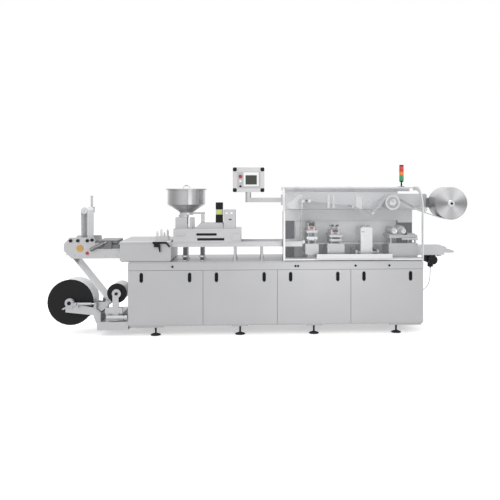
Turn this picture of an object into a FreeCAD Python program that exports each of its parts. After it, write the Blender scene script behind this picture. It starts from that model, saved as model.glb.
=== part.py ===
import FreeCAD, Part
import math
import os
from FreeCAD import Vector

# Blister packing machine. Millimetres: X along the line, Y into the machine, Z up from the floor.

# Clearances
SEAT = 0.3
HOLE_PLAY = 0.05
GUIDE_PLAY = 1.0
RUN_CLEAR = 5.5

# Flats of shafts and of the bores that they turn in
AXLE_SIDES = 16

# Cabinet
LENGTH = 3080.0
DEPTH = 700.0
BODY_BOTTOM = 116.0
RAIL_BOTTOM = 682.0
RAIL_TOP = 755.0
TABLE_THICK = 12.0
TABLE_STEP = 6.0
PANEL_COUNT = 4
PANEL_DEPTH = 20.0
PANEL_GAP = 4.0
SHEET = 2.0
LEFT = -LENGTH / 2
RIGHT = LENGTH / 2
TABLE = RAIL_TOP + TABLE_THICK

# Finger pulls and rail buttons
PULL_WIDTH = 28.0
PULL_HEIGHT = 96.0
PULL_INSET = 247.0
PULL_BELOW_RAIL = 27.0
PULL_RIM = 4.0
PULL_WALL = 4.0
PULL_PROUD = 3.0
BUTTON_RADIUS = 9.0
BUTTON_PLACES = (0.148, 0.561, 0.57, 0.766, 0.882)

# Base and feet
PLATE_LOW = 12.0
FOOT_BAR = 18.0
FOOT_BAR_LENGTH = 330.0
FOOT_BAR_INSET = 20.0
SADDLE = 12.0
SADDLE_LENGTH = 170.0
FOOT_RADIUS = 52.5
FOOT_EDGE = 8.0
FOOT_DOME = 12.0
FOOT_STEM = 10.0
FOOT_NUT = 16.0
FOOT_INSET = 275.0
FOOT_MID = 388.0
FOOT_SIDE = 75.0

# Web of film and its path
PASS_ABOVE_TABLE = 173.0
PASS_LINE = TABLE + PASS_ABOVE_TABLE
WEB_FRONT = 110.0
WEB_WIDTH = 260.0
WEB_BACK = WEB_FRONT + WEB_WIDTH
WEB_MIDDLE = WEB_FRONT + WEB_WIDTH / 2
FILM_THICK = 1.2
FOIL_THICK = 0.8
FILM_STEP = math.radians(9)
FILM_TOP = PASS_LINE + FILM_THICK
BED = PASS_LINE - SEAT

# Reel stand at the left end
STAND_LENGTH = 317.0
STAND_LOW = 66.0
STAND_HIGH = 152.0
STAND_FRONT = WEB_FRONT - 90.0
STAND_BACK = WEB_BACK + 70.0
ARM_THICK = 20.0
ARM_FRONT = WEB_FRONT - 80.0
ARM_BACK = WEB_BACK + 30.0
REEL_OUT = 599.0
REEL_Z = 348.0
REEL_X = LEFT - REEL_OUT
FLANGE_RADIUS = 236.0
FLANGE_THICK = 10.0
FILM_ROLL_RADIUS = 222.0
CORE_RADIUS = 38.0
SHAFT_RADIUS = 19.0
SPARE_X = LEFT - 123.0
SPARE_Z = 440.0
SPARE_RADIUS = 101.0
SPARE_SHAFT = 15.0
POST_X = LEFT - 310.0
POST_WIDTH = 54.0
POST_HIGH = 236.0

# In-feed
HOOD_OUT = 86.0
HOOD_LEFT = LEFT - HOOD_OUT
HOOD_LENGTH = 522.0
HOOD_RIGHT = HOOD_LEFT + HOOD_LENGTH
HOOD_FRONT = 20.0
HOOD_BACK = DEPTH - 60.0
HOOD_TOP = PASS_LINE + 41.0
SIDE_THICK = 12.0
SIDE_FRONT = WEB_FRONT - 30.0
SIDE_BACK = WEB_BACK + 18.0
SIDE_INNER = SIDE_FRONT + SIDE_THICK
INFEED_LENGTH = 584.0
INFEED_LEFT = HOOD_LEFT - INFEED_LENGTH
DANCER_RADIUS = 22.0
DANCER = (LEFT - 243.0, 329.0, DANCER_RADIUS)
TOP_RADIUS = 25.0
TURN_RADIUS = 18.0
LOOP_RADIUS = 33.0
LOOP_HIGH = 354.0
TOP_ROLLER = (INFEED_LEFT + 25.0, BED - TOP_RADIUS, TOP_RADIUS)
LOOP_TOP = (INFEED_LEFT + 201.0, PASS_LINE + LOOP_HIGH, LOOP_RADIUS)
LOOP_LEFT = (LOOP_TOP[0] - LOOP_RADIUS - TURN_RADIUS, FILM_TOP + SEAT + TURN_RADIUS, TURN_RADIUS)
LOOP_RIGHT = (LOOP_TOP[0] + LOOP_RADIUS + TURN_RADIUS, FILM_TOP + SEAT + TURN_RADIUS, TURN_RADIUS)
CHILL_ROLLER = (INFEED_LEFT + 285.0, BED - TOP_RADIUS, TOP_RADIUS)
PIN_RADIUS = 8.0

# Feeder
FEEDER_LEFT = HOOD_RIGHT + 21.0
FEEDER_LENGTH = 705.0
FEEDER_RIGHT = FEEDER_LEFT + FEEDER_LENGTH
FEEDER_TOP = PASS_LINE + 164.0
CHANNEL_LOW = PASS_LINE - 25.0
CHANNEL_HIGH = PASS_LINE + 28.0
CHANNEL_WALL = 16.0
HOOD_TOP_FEEDER = FEEDER_TOP + 56.0
COLUMN_TOP = FEEDER_TOP + 273.0
CONTROL_TOP = FEEDER_TOP + 197.0
CONTROL_WIDTH = 126.0
CONTROL_RIGHT = FEEDER_RIGHT - 59.0

# Hopper
HOPPER_X = FEEDER_LEFT + 118.0
HOPPER_Y = WEB_MIDDLE + 10.0
HOPPER_RADIUS = 202.0
HOPPER_LIP = 18.0
HOPPER_NECK = 70.0
HOPPER_WALL = 3.0
CONE_HEIGHT = 88.0
BARREL_HEIGHT = 160.0
LIP_THICK = 8.0
HOPPER_LOW = FEEDER_TOP + 166.0
CONE_TOP = HOPPER_LOW + CONE_HEIGHT
BARREL_TOP = CONE_TOP + BARREL_HEIGHT
LID_THICK = 5.0

# Guard over the working bay
GUARD_LENGTH = 1484.0
GUARD_RIGHT = RIGHT + 4.0
GUARD_LEFT = GUARD_RIGHT - GUARD_LENGTH
GUARD_BOTTOM = TABLE + 8.0
GUARD_TOP = TABLE + 778.0
GUARD_CURVE = 250.0
GUARD_SHEET = 6.0
RIB_WIDTH_LEFT = 22.0
RIB_WIDTH_RIGHT = 12.0
RIB_DEEP = 42.0
HOUSING_FRONT = WEB_BACK + 30.0
GUARD_REAR = HOUSING_FRONT - 15.0
HINGE_Y = HOUSING_FRONT - 6.0
HINGE_Z = GUARD_TOP - 13.0
HINGE_PIN = 9.0
KNUCKLE_RADIUS = 13.0
KNUCKLE_WIDTH = 60.0
KNUCKLE_PLACES = (140.0, 720.0, 1300.0)

# Upper housing
HOUSING_LEFT = GUARD_LEFT + 50.0
HOUSING_RIGHT = RIGHT - 180.0
HOUSING_BOTTOM = TABLE + 401.0
HOUSING_TOP = TABLE + 726.0
HOUSING_FOLD = 14.0
FOLD_BOTTOM = HOUSING_TOP - 203.0
FACE = HOUSING_FRONT - HOUSING_FOLD
WALL_INSET = 30.0
PILLAR_WIDTH = 95.0
PILLAR_RIGHT = RIGHT - 14.0
TOP_BEAM = GUARD_TOP - 5.0
TOP_BEAM_DEPTH = 142.0
TOP_BEAM_FRONT = HOUSING_FRONT + 18.0

# Foil reel and foil path
FOIL_X = RIGHT + 335.0
FOIL_Z = TABLE + 597.0
FOIL_ROLL_RADIUS = 176.0
FOIL_HUB = 40.0
FOIL_FACE = WEB_FRONT + 5.0
FOIL_DEPTH = WEB_WIDTH + 10.0
BEAM_LOW = FOIL_Z - 79.0
BEAM_HIGH = FOIL_Z + 100.0
BEAM_END = RIGHT + 160.0
WHEEL_RADIUS = 74.0
EXIT_ROLLER = (RIGHT + 50.0, FOIL_Z - 64.0, 25.0)
WHEEL = (RIGHT - 303.0, FOIL_Z + 12.0, WHEEL_RADIUS)
DIP_ROLLER = (GUARD_LEFT + 960.0, FOIL_Z - 103.0, 12.0)
MID_ROLLER = (GUARD_LEFT + 746.0, FOIL_Z - 31.0, 10.0)
CREST_ROLLER = (GUARD_LEFT + 284.0, FOIL_Z + 27.0, 16.0)
DROP_ROLLER = (GUARD_LEFT + 219.5, FOIL_Z + 27.0, 16.0)
LAY_ROLLER = (DROP_ROLLER[0] + 2.0, FILM_TOP + FOIL_THICK + SEAT + 18.0, 18.0)
FOIL_STOPS = (EXIT_ROLLER, WHEEL, DIP_ROLLER, MID_ROLLER, CREST_ROLLER, DROP_ROLLER, LAY_ROLLER)
FOIL_TURNS = (-1, 1, -1, 1, 1, 1, 1)

# Stations in the working bay
STATION_FRONT = WEB_FRONT - 30.0
STATION_BACK = WEB_BACK + 30.0
GUIDE_COLLAR = 13.0
GUIDE_ROWS = (WEB_FRONT - GUIDE_COLLAR - GUIDE_PLAY, WEB_BACK + GUIDE_COLLAR + GUIDE_PLAY)
BASE_THICK = 16.0
BED_LOW = PASS_LINE - 110.0
GUIDE_RADIUS = 9.0
SEAL_LEFT = GUARD_LEFT + 240.0
SEAL_LENGTH = 141.0
SEAL_HEAD = PASS_LINE + 117.0
SEAL_TOP = PASS_LINE + 220.0
PERF_LEFT = GUARD_LEFT + 474.0
PERF_LENGTH = 181.0
PERF_HEAD = PASS_LINE + 70.0
PERF_TOP = PASS_LINE + 145.0
TRACTION_LEFT = GUARD_LEFT + 773.0
TRACTION_LENGTH = 252.0
CARRIAGE_LENGTH = 125.0
CARRIAGE_LEFT = TRACTION_LEFT + 57.0
CARRIAGE_TOP = PASS_LINE + 171.0
SLIDE_Z = TABLE + 78.0
SLIDE_RADIUS = 10.0
PUNCH_LEFT = GUARD_LEFT + 1130.0
PUNCH_LENGTH = 310.0
PUNCH_RIGHT = PUNCH_LEFT + PUNCH_LENGTH
PUNCH_HEAD = PASS_LINE + 59.0

# Discharge end
OUT_LENGTH = 315.0
OUT_TOP = PASS_LINE - 40.0
OUT_DEEP = 85.0
OUT_SHEET = 15.0
END_BAR_LENGTH = 124.0
MOTOR_X = RIGHT + 122.0

# Operator panel
PANEL_ARM_Y = HOUSING_FRONT + 45.0
PANEL_X = GUARD_LEFT - 364.0
PANEL_WIDE = 348.0
PANEL_HIGH = 273.0
PANEL_DEEP = 90.0
PANEL_CORNER = 20.0
ARM_TUBE = 50.0
ARM_Z = TABLE + 605.0
ARM_DROP = 92.0
ARM_DROP_RADIUS = 32.0
NECK = 20.0
NECK_GAP = 0.5
PANEL_LOW = ARM_Z + ARM_DROP + NECK_GAP + NECK

# Signal tower
TOWER_X = RIGHT - 116.0
TOWER_Y = HOUSING_FRONT + 80.0
TOWER_RADIUS = 24.0
TOWER_STEM = 58.0
LENS_HEIGHTS = (58.0, 49.0, 61.0)
LENS_GROOVE = 1.5
CAP_HEIGHT = 13.0

# Motor cable
CABLE_RADIUS = 4.0
CABLE_Y = WEB_FRONT + 60.0
CABLE_ROUTE = (
    (MOTOR_X, 671.0),
    (MOTOR_X, 591.0),
    (MOTOR_X - 11.1, 511.8),
    (MOTOR_X - 46.1, 451.2),
    (MOTOR_X - 85.0, 428.7),
    (MOTOR_X - 108.0, 428.7),
)


def box(x0, x1, y0, y1, z0, z1):
    """Block between two corners."""
    return Part.makeBox(x1 - x0, y1 - y0, z1 - z0, Vector(x0, y0, z0))


def sides_for(radius):
    """How many flats a round piece of this size is drawn with."""
    if radius < 14:
        return 8
    if radius < 34:
        return 12
    return 18 if radius < 90 else 32


def outline(radius, sides):
    """Closed many-sided wire round the origin, corners on the axes."""
    step = 2 * math.pi / sides
    corners = [Vector(radius * math.cos(i * step), radius * math.sin(i * step), 0) for i in range(sides)]
    return Part.makePolygon(corners + corners[:1])


def stand_up(shape, x, y, z, axis):
    """Turn a piece built along Z to lie along the named axis, and put it in place."""
    if axis == "x":
        shape.rotate(Vector(0, 0, 0), Vector(0, 1, 0), 90)
    if axis == "y":
        shape.rotate(Vector(0, 0, 0), Vector(1, 0, 0), -90)
    shape.translate(Vector(x, y, z))
    return shape


def rod(x, y, z, radius, length, axis="y"):
    """Round bar with flats, from a point along one axis."""
    bar = Part.Face(outline(radius, sides_for(radius))).extrude(Vector(0, 0, length))
    return stand_up(bar, x, y, z, axis)


def turned(x, y, z, profile, axis="y", sides=0):
    """Turned piece: the profile lists (radius, distance along the axis), all as flats."""
    count = sides or sides_for(max(radius for radius, along in profile))
    step = 2 * math.pi / count
    rings = []
    for radius, along in profile:
        rings.append([Vector(radius * math.cos(i * step), radius * math.sin(i * step), along) for i in range(count)])
    faces = [Part.Face(Part.makePolygon(corners + corners[:1])) for corners in (rings[0], rings[-1])]
    for lower, upper in zip(rings, rings[1:]):
        for i in range(count):
            j = (i + 1) % count
            faces.append(Part.Face(Part.makePolygon([lower[i], lower[j], upper[j], upper[i], lower[i]])))
    shell = Part.makeShell(faces)
    shell.sewShape()
    solid = Part.makeSolid(shell)
    if solid.Volume < 0:
        solid.reverse()
    return stand_up(solid.removeSplitter(), x, y, z, axis)


def axle(x, y, z, radius, length, axis="y"):
    """Shaft that turns in a bore: its corners lie on its radius, inside the bore."""
    return turned(x, y, z, [(radius, 0), (radius, length)], axis, AXLE_SIDES)


def shaft(x, y, z, radius, length, axis="y"):
    """Bore that a shaft turns in: its flats lie on its radius, outside the shaft."""
    corner = radius / math.cos(math.pi / AXLE_SIDES)
    bore = Part.Face(outline(corner, AXLE_SIDES)).extrude(Vector(0, 0, length))
    return stand_up(bore, x, y, z, axis)


def ring(x, y, z, outer, inner, length, axis="y"):
    """Round bar with a hole through it."""
    return rod(x, y, z, outer, length, axis).cut(rod(x, y, z, inner, length, axis))


def join(shapes):
    """One solid from shapes that touch."""
    result = shapes[0].fuse(shapes[1:]) if len(shapes) > 1 else shapes[0]
    return result.removeSplitter()


def group(shapes):
    """Pieces of one node that stay apart."""
    return Part.makeCompound(shapes)


def side_plate(points, y0, y1):
    """Plate whose outline lies in XZ."""
    corners = [Vector(x, y0, z) for x, z in points]
    return Part.Face(Part.makePolygon(corners + corners[:1])).extrude(Vector(0, y1 - y0, 0))


def soften(shape, radius, picks):
    """Round the edges that the test picks."""
    return shape.makeFillet(radius, [edge for edge in shape.Edges if picks(edge)])


def bevel(shape, size, picks):
    """Chamfer the edges that the test picks."""
    return shape.makeChamfer(size, [edge for edge in shape.Edges if picks(edge)])


def edge_along(axis):
    """Test for straight edges along one axis."""
    def test(edge):
        """True when the edge runs along the axis."""
        bounds = edge.BoundBox
        spans = {"x": bounds.XLength, "y": bounds.YLength, "z": bounds.ZLength}
        return spans[axis] > 1.0 and all(span < 0.01 for name, span in spans.items() if name != axis)
    return test


def knob(x, y, z, radius, thick):
    """Turned knob whose rounded end is towards the operator."""
    return turned(x, y - thick, z, [(radius * 0.8, 0), (radius, thick * 0.3), (radius, thick)])


def tangent_legs(stops, radii):
    """Straight runs between rollers, each tangent to the two rollers it joins."""
    legs = []
    for number in range(len(stops) - 1):
        x1, z1, _, s1 = stops[number]
        x2, z2, _, s2 = stops[number + 1]
        dx, dz = x2 - x1, z2 - z1
        reach = math.hypot(dx, dz)
        shift = s2 * radii[number + 1] - s1 * radii[number]
        run = math.sqrt(reach * reach - shift * shift)
        ux = (run * dx + shift * dz) / reach / reach
        uz = (run * dz - shift * dx) / reach / reach
        start = (x1 + s1 * radii[number] * uz, z1 - s1 * radii[number] * ux)
        end = (x2 + s2 * radii[number + 1] * uz, z2 - s2 * radii[number + 1] * ux)
        legs.append((start, end, (-uz, ux)))
    return legs


def wrap(stop, radius, half, arrive, leave):
    """Curved part of the strip round one roller."""
    x, z, _, turn = stop
    first = math.atan2(arrive[1] - z, arrive[0] - x)
    last = math.atan2(leave[1] - z, leave[0] - x)
    sweep = ((last - first) * turn) % (2 * math.pi)
    if sweep > 1.99 * math.pi:
        return []
    count = max(2, math.ceil(sweep / FILM_STEP))
    angles = [first + turn * sweep * i / count for i in range(count + 1)]
    outer = [(x + (radius + half) * math.cos(a), z + (radius + half) * math.sin(a)) for a in angles]
    inner = [(x + (radius - half) * math.cos(a), z + (radius - half) * math.sin(a)) for a in reversed(angles)]
    return [side_plate(outer + inner, WEB_FRONT, WEB_BACK)]


def web_path(stops, thick):
    """Strip of film led round rollers: stops are (x, z, radius, turn), turn +1 counter-clockwise."""
    half = thick / 2
    radii = [radius + SEAT + half if radius > 0 else 0.0 for x, z, radius, turn in stops]
    legs = tangent_legs(stops, radii)
    pieces = []
    for start, end, (nx, nz) in legs:
        above = [(start[0] + nx * half, start[1] + nz * half), (end[0] + nx * half, end[1] + nz * half)]
        below = [(end[0] - nx * half, end[1] - nz * half), (start[0] - nx * half, start[1] - nz * half)]
        pieces.append(side_plate(above + below, WEB_FRONT, WEB_BACK))
    for number in range(1, len(stops) - 1):
        pieces += wrap(stops[number], radii[number], half, legs[number - 1][1], legs[number][0])
    return join(pieces)


def base_frame():
    """Bottom plate with foot bars at its ends and saddles in the middle."""
    low = BODY_BOTTOM - PLATE_LOW
    parts = [box(LEFT + 10, RIGHT - 10, 12, DEPTH - 12, low, BODY_BOTTOM)]
    for side in (LEFT + FOOT_BAR_INSET, RIGHT - FOOT_BAR_INSET - FOOT_BAR_LENGTH):
        parts.append(box(side, side + FOOT_BAR_LENGTH, 25, DEPTH - 25, low - FOOT_BAR, low))
    for middle in (-FOOT_MID, FOOT_MID):
        parts.append(box(middle - SADDLE_LENGTH / 2, middle + SADDLE_LENGTH / 2, 25, DEPTH - 25, low - SADDLE, low))
    return join(parts)


def foot_places():
    """X, Y and stem top of each foot."""
    low = BODY_BOTTOM - PLATE_LOW
    columns = (
        (LEFT + FOOT_INSET, low - FOOT_BAR),
        (-FOOT_MID, low - SADDLE),
        (FOOT_MID, low - SADDLE),
        (RIGHT - FOOT_INSET, low - FOOT_BAR),
    )
    return [(x, y, top) for x, top in columns for y in (FOOT_SIDE, DEPTH - FOOT_SIDE)]


def levelling_feet():
    """Round pads on threaded stems with lock nuts."""
    feet = []
    for x, y, top in foot_places():
        dome = FOOT_EDGE + FOOT_DOME
        pad = turned(x, y, 0, [(FOOT_RADIUS, 0), (FOOT_RADIUS, FOOT_EDGE), (FOOT_NUT + 6, dome)], "z", 12)
        stem = rod(x, y, dome, FOOT_STEM, top - dome, "z")
        nut = turned(x, y, top - 14, [(FOOT_NUT, 0), (FOOT_NUT, 14)], "z", 6)
        feet.append(join([pad, stem, nut]))
    return group(feet)


def cabinet():
    """Closed housing with its top rail and table plate."""
    body = box(LEFT, RIGHT, PANEL_DEPTH, DEPTH, BODY_BOTTOM, RAIL_BOTTOM)
    rail = box(LEFT, RIGHT, 0, DEPTH, RAIL_BOTTOM, RAIL_TOP)
    plate = box(LEFT + TABLE_STEP, RIGHT - TABLE_STEP, TABLE_STEP + 2, DEPTH - TABLE_STEP, RAIL_TOP, TABLE)
    whole = join([body, rail, plate])
    cuts = []
    pitch = LENGTH / PANEL_COUNT
    for number in range(1, PANEL_COUNT):
        x = LEFT + number * pitch
        cuts.append(box(x - PANEL_GAP / 2, x + PANEL_GAP / 2, DEPTH - 6, DEPTH, BODY_BOTTOM, RAIL_BOTTOM))
    for share in BUTTON_PLACES:
        cuts.append(rod(LEFT + share * LENGTH, 0, (RAIL_BOTTOM + RAIL_TOP) / 2, BUTTON_RADIUS, 12))
    for x in (LEFT, RIGHT - SHEET):
        cuts.append(box(x, x + SHEET, 40, DEPTH - 40, RAIL_BOTTOM - 12, RAIL_BOTTOM - 8))
    return whole.cut(cuts)


def panel_centre(number):
    """X of the middle of one lift-off panel."""
    return LEFT + (number + 0.5) * LENGTH / PANEL_COUNT


def pull_slot(x, y0, y1, grow):
    """Upright slot with round ends for a finger pull."""
    radius = PULL_WIDTH / 2 + grow
    reach = (PULL_HEIGHT - PULL_WIDTH) / 2
    middle = RAIL_BOTTOM - PULL_BELOW_RAIL - PULL_HEIGHT / 2
    corners = []
    for end, start in ((1, 0), (-1, math.pi)):
        for i in range(4):
            angle = start + i * math.pi / 3
            corners.append((x + radius * math.cos(angle), middle + end * reach + radius * math.sin(angle)))
    return side_plate(corners, y0, y1)


def front_panel(number):
    """Folded sheet panel with two slots for finger pulls."""
    width = LENGTH / PANEL_COUNT - PANEL_GAP
    x = panel_centre(number)
    low = BODY_BOTTOM + 2
    high = RAIL_BOTTOM - 3
    outer = box(x - width / 2, x + width / 2, 0, PANEL_DEPTH - SEAT, low, high)
    inner = box(x - width / 2 + SHEET, x + width / 2 - SHEET, SHEET, PANEL_DEPTH, low + SHEET, high - SHEET)
    return outer.cut([inner] + [pull_slot(x + side * PULL_INSET, 0, SHEET, 0) for side in (-1, 1)])


def finger_pulls():
    """Moulded cups in the slots of the panels, and the buttons of the rail."""
    pieces = []
    for number in range(PANEL_COUNT):
        for side in (-1, 1):
            x = panel_centre(number) + side * PULL_INSET
            cup = join([pull_slot(x, 0, PANEL_DEPTH - 4, -0.2), pull_slot(x, -PULL_PROUD, 0, PULL_RIM)])
            pieces.append(cup.cut(pull_slot(x, -PULL_PROUD, PANEL_DEPTH - 8, -PULL_WALL)))
    for share in BUTTON_PLACES:
        profile = [(BUTTON_RADIUS + 3, -6), (BUTTON_RADIUS + 3, 0), (BUTTON_RADIUS, 0.01), (BUTTON_RADIUS, 12)]
        middle = (RAIL_BOTTOM + RAIL_TOP) / 2
        pieces.append(turned(LEFT + share * LENGTH, 0, middle, profile, "y", sides_for(BUTTON_RADIUS)))
    return group(pieces)


def arm_plate(y0, y1):
    """Outline of a reel arm, from its foot to its head."""
    x = REEL_X
    foot = POST_X + POST_WIDTH / 2
    points = [
        (x - 40, REEL_Z - 94),
        (foot - 76, POST_HIGH - 14),
        (foot - 45, STAND_HIGH - 12),
        (foot, STAND_HIGH - 12),
        (foot, POST_HIGH + 12),
        (foot - 60, POST_HIGH + 62),
        (x + 52, REEL_Z - 12),
        (x - 40, REEL_Z - 12),
    ]
    plate = side_plate(points, y0, y1)
    head = rod(x, y0, REEL_Z, 48, y1 - y0)
    cheek = box(x - 40, x + 40, y0, y1, REEL_Z - 50, REEL_Z - 5)
    return join([plate, head, cheek]).cut(shaft(x, y0 - 1, REEL_Z, SHAFT_RADIUS + HOLE_PLAY, y1 - y0 + 2))


def spare_bracket():
    """Bar and foot that hold the spare reel."""
    y0 = ARM_FRONT
    y1 = ARM_FRONT + ARM_THICK
    x = SPARE_X
    parts = [
        box(x - 39, x + 23, y0, y1, STAND_HIGH + 8, SPARE_Z - 40),
        side_plate([(x - 39, SPARE_Z - 40), (x + 23, SPARE_Z - 40), (x + 38, SPARE_Z), (x - 38, SPARE_Z)], y0, y1),
        rod(x, y0, SPARE_Z, 46, y1 - y0),
        box(x - 113, x + 63, y0, y1 + 10, POST_HIGH, POST_HIGH + 60),
        box(x - 113, x + 63, y1 + 10, STAND_BACK - 40, STAND_HIGH, POST_HIGH),
    ]
    return join(parts).cut(shaft(x, y0 - 1, SPARE_Z, SPARE_SHAFT + HOLE_PLAY, ARM_THICK + 2))


def reel_stand():
    """Bracket box on the cabinet's end with its post, both reel arms and the spare bracket."""
    foot = box(LEFT - STAND_LENGTH, LEFT, STAND_FRONT, STAND_BACK, STAND_LOW, STAND_HIGH)
    half = POST_WIDTH / 2
    post = box(POST_X - half, POST_X + half, ARM_FRONT + ARM_THICK, ARM_BACK, STAND_HIGH, POST_HIGH)
    pivot = rod(POST_X, ARM_FRONT - 12, POST_HIGH + 2, 13, 12)
    front = arm_plate(ARM_FRONT, ARM_FRONT + ARM_THICK)
    back = arm_plate(ARM_BACK, ARM_BACK + ARM_THICK)
    return join([foot, post, pivot, front, back, spare_bracket()])


def reel_clamp():
    """Half bearing with its toggle lever, on the face of the front arm."""
    y0 = ARM_FRONT - 16
    y1 = ARM_FRONT
    x = REEL_X
    z = REEL_Z
    cap = rod(x, y0, z, 42, 16).cut(rod(x, y0, z, SHAFT_RADIUS + 2, 16))
    lever = side_plate([(x - 26, z - 34), (x - 58, z - 46), (x - 74, z - 60), (x - 60, z - 66), (x - 24, z - 52)], y0, y1)
    hook = side_plate([(x + 28, z - 34), (x + 70, z - 22), (x + 80, z + 4), (x + 62, z + 10), (x + 30, z - 10)], y0, y1)
    shoe = box(x - 32, x + 34, y0, y1, z - 52, z - 28)
    return join([cap, lever, hook, shoe])


def arm_strut():
    """Gas strut lying along the front arm, with its end blocks."""
    y0 = ARM_FRONT - 16
    z = REEL_Z - 6
    x0 = REEL_X + 87
    x1 = POST_X - 32
    tube = rod(x0 + 12, y0, z, 15, 130, "x")
    piston = rod(x0 + 142, y0, z, 8, x1 - x0 - 142, "x")
    ends = [box(x0, x0 + 12, y0 - 16, ARM_FRONT, z - 42, z + 18), box(x1, x1 + 22, y0 - 16, ARM_FRONT, z - 50, z + 10)]
    return join([tube, piston] + ends)


def dancer_block():
    """Side cheeks and pin of the lower guide roller."""
    x, z, _ = DANCER
    foot = POST_X - POST_WIDTH / 2
    parts = []
    for y0, y1 in ((WEB_FRONT - 48, WEB_FRONT - 34), (WEB_BACK + 18, WEB_BACK + 30)):
        points = [(foot - 24, POST_HIGH), (foot + 30, POST_HIGH), (x + 23, z - 29), (x + 41, z + 21), (foot, z + 21)]
        parts.append(side_plate(points, y0, y1))
    parts.append(rod(x, WEB_FRONT - 48, z, 10, WEB_WIDTH + 78))
    return join(parts)


def spare_cylinder():
    """Short horizontal cylinder on the spare bracket's bar."""
    y = ARM_FRONT - 26
    z = STAND_HIGH + 48
    x = SPARE_X
    body = turned(x - 93, y, z, [(20, 0), (22, 4), (22, 176), (20, 180)], "x")
    cap = turned(x + 87, y, z, [(22, 0), (27, 4), (27, 30), (22, 34)], "x")
    return join([body, cap, box(x - 37, x + 23, y, ARM_FRONT, z - 10, z + 14)])


def reel(x, z, radius, front, shaft_radius, length):
    """Flange, hub and shaft of a reel."""
    flange = rod(x, front, z, radius, FLANGE_THICK)
    hub = turned(x, front - 14, z, [(44, 0), (52, 8), (52, 14)])
    return join([flange, hub, axle(x, front - 64, z, shaft_radius, length)])


def film_reel():
    """Black front flange, hub, core, rear disc and shaft of the film reel."""
    front = WEB_FRONT - 38
    length = ARM_BACK + ARM_THICK + 13 - (front - 64)
    core = rod(REEL_X, front + FLANGE_THICK, REEL_Z, CORE_RADIUS, WEB_BACK + 4 - front - FLANGE_THICK)
    back = rod(REEL_X, WEB_BACK + 4, REEL_Z, 120, FLANGE_THICK)
    return join([reel(REEL_X, REEL_Z, FLANGE_RADIUS, front, SHAFT_RADIUS, length), core, back])


def film_roll():
    """Wound film on the reel."""
    return ring(REEL_X, WEB_FRONT - 4, REEL_Z, FILM_ROLL_RADIUS, CORE_RADIUS, WEB_WIDTH + 8)


def spare_reel():
    """Spare reel: disc, hub and shaft."""
    front = ARM_FRONT + ARM_THICK + 14
    disc = rod(SPARE_X, front, SPARE_Z, SPARE_RADIUS, 8)
    hub = turned(SPARE_X, front - 8, SPARE_Z, [(34, 0), (40, 4), (40, 8)])
    return join([disc, hub, axle(SPARE_X, ARM_FRONT - 18, SPARE_Z, SPARE_SHAFT, front + 8 - ARM_FRONT + 18 + 250)])


def spare_roll():
    """Wound film on the spare reel."""
    front = ARM_FRONT + ARM_THICK + 22
    roll = rod(SPARE_X, front, SPARE_Z, SPARE_RADIUS - 5, 250)
    return roll.cut(shaft(SPARE_X, front, SPARE_Z, SPARE_SHAFT, 250))


def between_plates(stop):
    """Roller on its pin between the side plates."""
    x, z, radius = stop
    reach = SIDE_BACK - SIDE_INNER
    return join([rod(x, SIDE_INNER + 6, z, radius, reach - 12), rod(x, SIDE_INNER, z, PIN_RADIUS, reach)])


def guide_rollers():
    """Rollers that lead the forming film."""
    lower = ring(DANCER[0], WEB_FRONT - 15, DANCER[1], DANCER_RADIUS, 10, WEB_WIDTH + 20)
    floating = ring(LOOP_TOP[0], WEB_FRONT - 6, LOOP_TOP[1], LOOP_RADIUS, PIN_RADIUS, WEB_WIDTH + 12)
    return group([lower, floating] + [between_plates(stop) for stop in (TOP_ROLLER, LOOP_LEFT, LOOP_RIGHT, CHILL_ROLLER)])


def infeed_outline():
    """Outline of an in-feed side plate."""
    x = INFEED_LEFT
    return [
        (x, PASS_LINE - 60),
        (x, PASS_LINE + 10),
        (x + 58, PASS_LINE + 77),
        (x + 310, PASS_LINE + 77),
        (x + 330, PASS_LINE - 40),
        (HOOD_LEFT, PASS_LINE - 40),
        (HOOD_LEFT, PASS_LINE - 141),
        (x + 80, PASS_LINE - 141),
    ]


def mast():
    """Upright rod, slider and pin that hold the floating roller."""
    x, z, _ = LOOP_TOP
    y = SIDE_BACK + SIDE_THICK + 18
    rail = rod(x, y, PASS_LINE - 40, 12, LOOP_HIGH + 179, "z")
    foot = box(x - 30, x + 30, SIDE_BACK + SIDE_THICK, y + 18, PASS_LINE - 60, PASS_LINE)
    slider = box(x - 28, x + 28, y - 22, y + 22, z - 30, z + 30)
    pin = rod(x, WEB_FRONT - 10, z, PIN_RADIUS, y - 22 - WEB_FRONT + 10)
    return [rail, foot, slider, pin, rod(x, y, PASS_LINE + LOOP_HIGH + 139, 16, 12, "z")]


def infeed_frame():
    """Two side plates of the in-feed with spacer bars, rear rest and mast."""
    reach = SIDE_BACK - SIDE_INNER
    plates = [side_plate(infeed_outline(), y, y + SIDE_THICK) for y in (SIDE_FRONT, SIDE_BACK)]
    bars = [rod(INFEED_LEFT + x, SIDE_INNER, PASS_LINE + z, 12, reach) for x, z in ((110, -110), (250, -110), (510, -115))]
    rest = box(HOOD_LEFT - 34, HOOD_LEFT, SIDE_INNER, SIDE_BACK, PASS_LINE - 141, PASS_LINE - 80)
    return join(plates + bars + [rest] + mast())


def infeed_knobs():
    """Black end knobs on the in-feed side plate."""
    places = ((71, 45), (144, 45), (241, 45), (290, 52))
    return group([knob(INFEED_LEFT + x, SIDE_FRONT, PASS_LINE + z, 17, 22) for x, z in places])


HEATER_LEFT = INFEED_LEFT + 320.0
HEATER_LENGTH = 240.0


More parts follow.
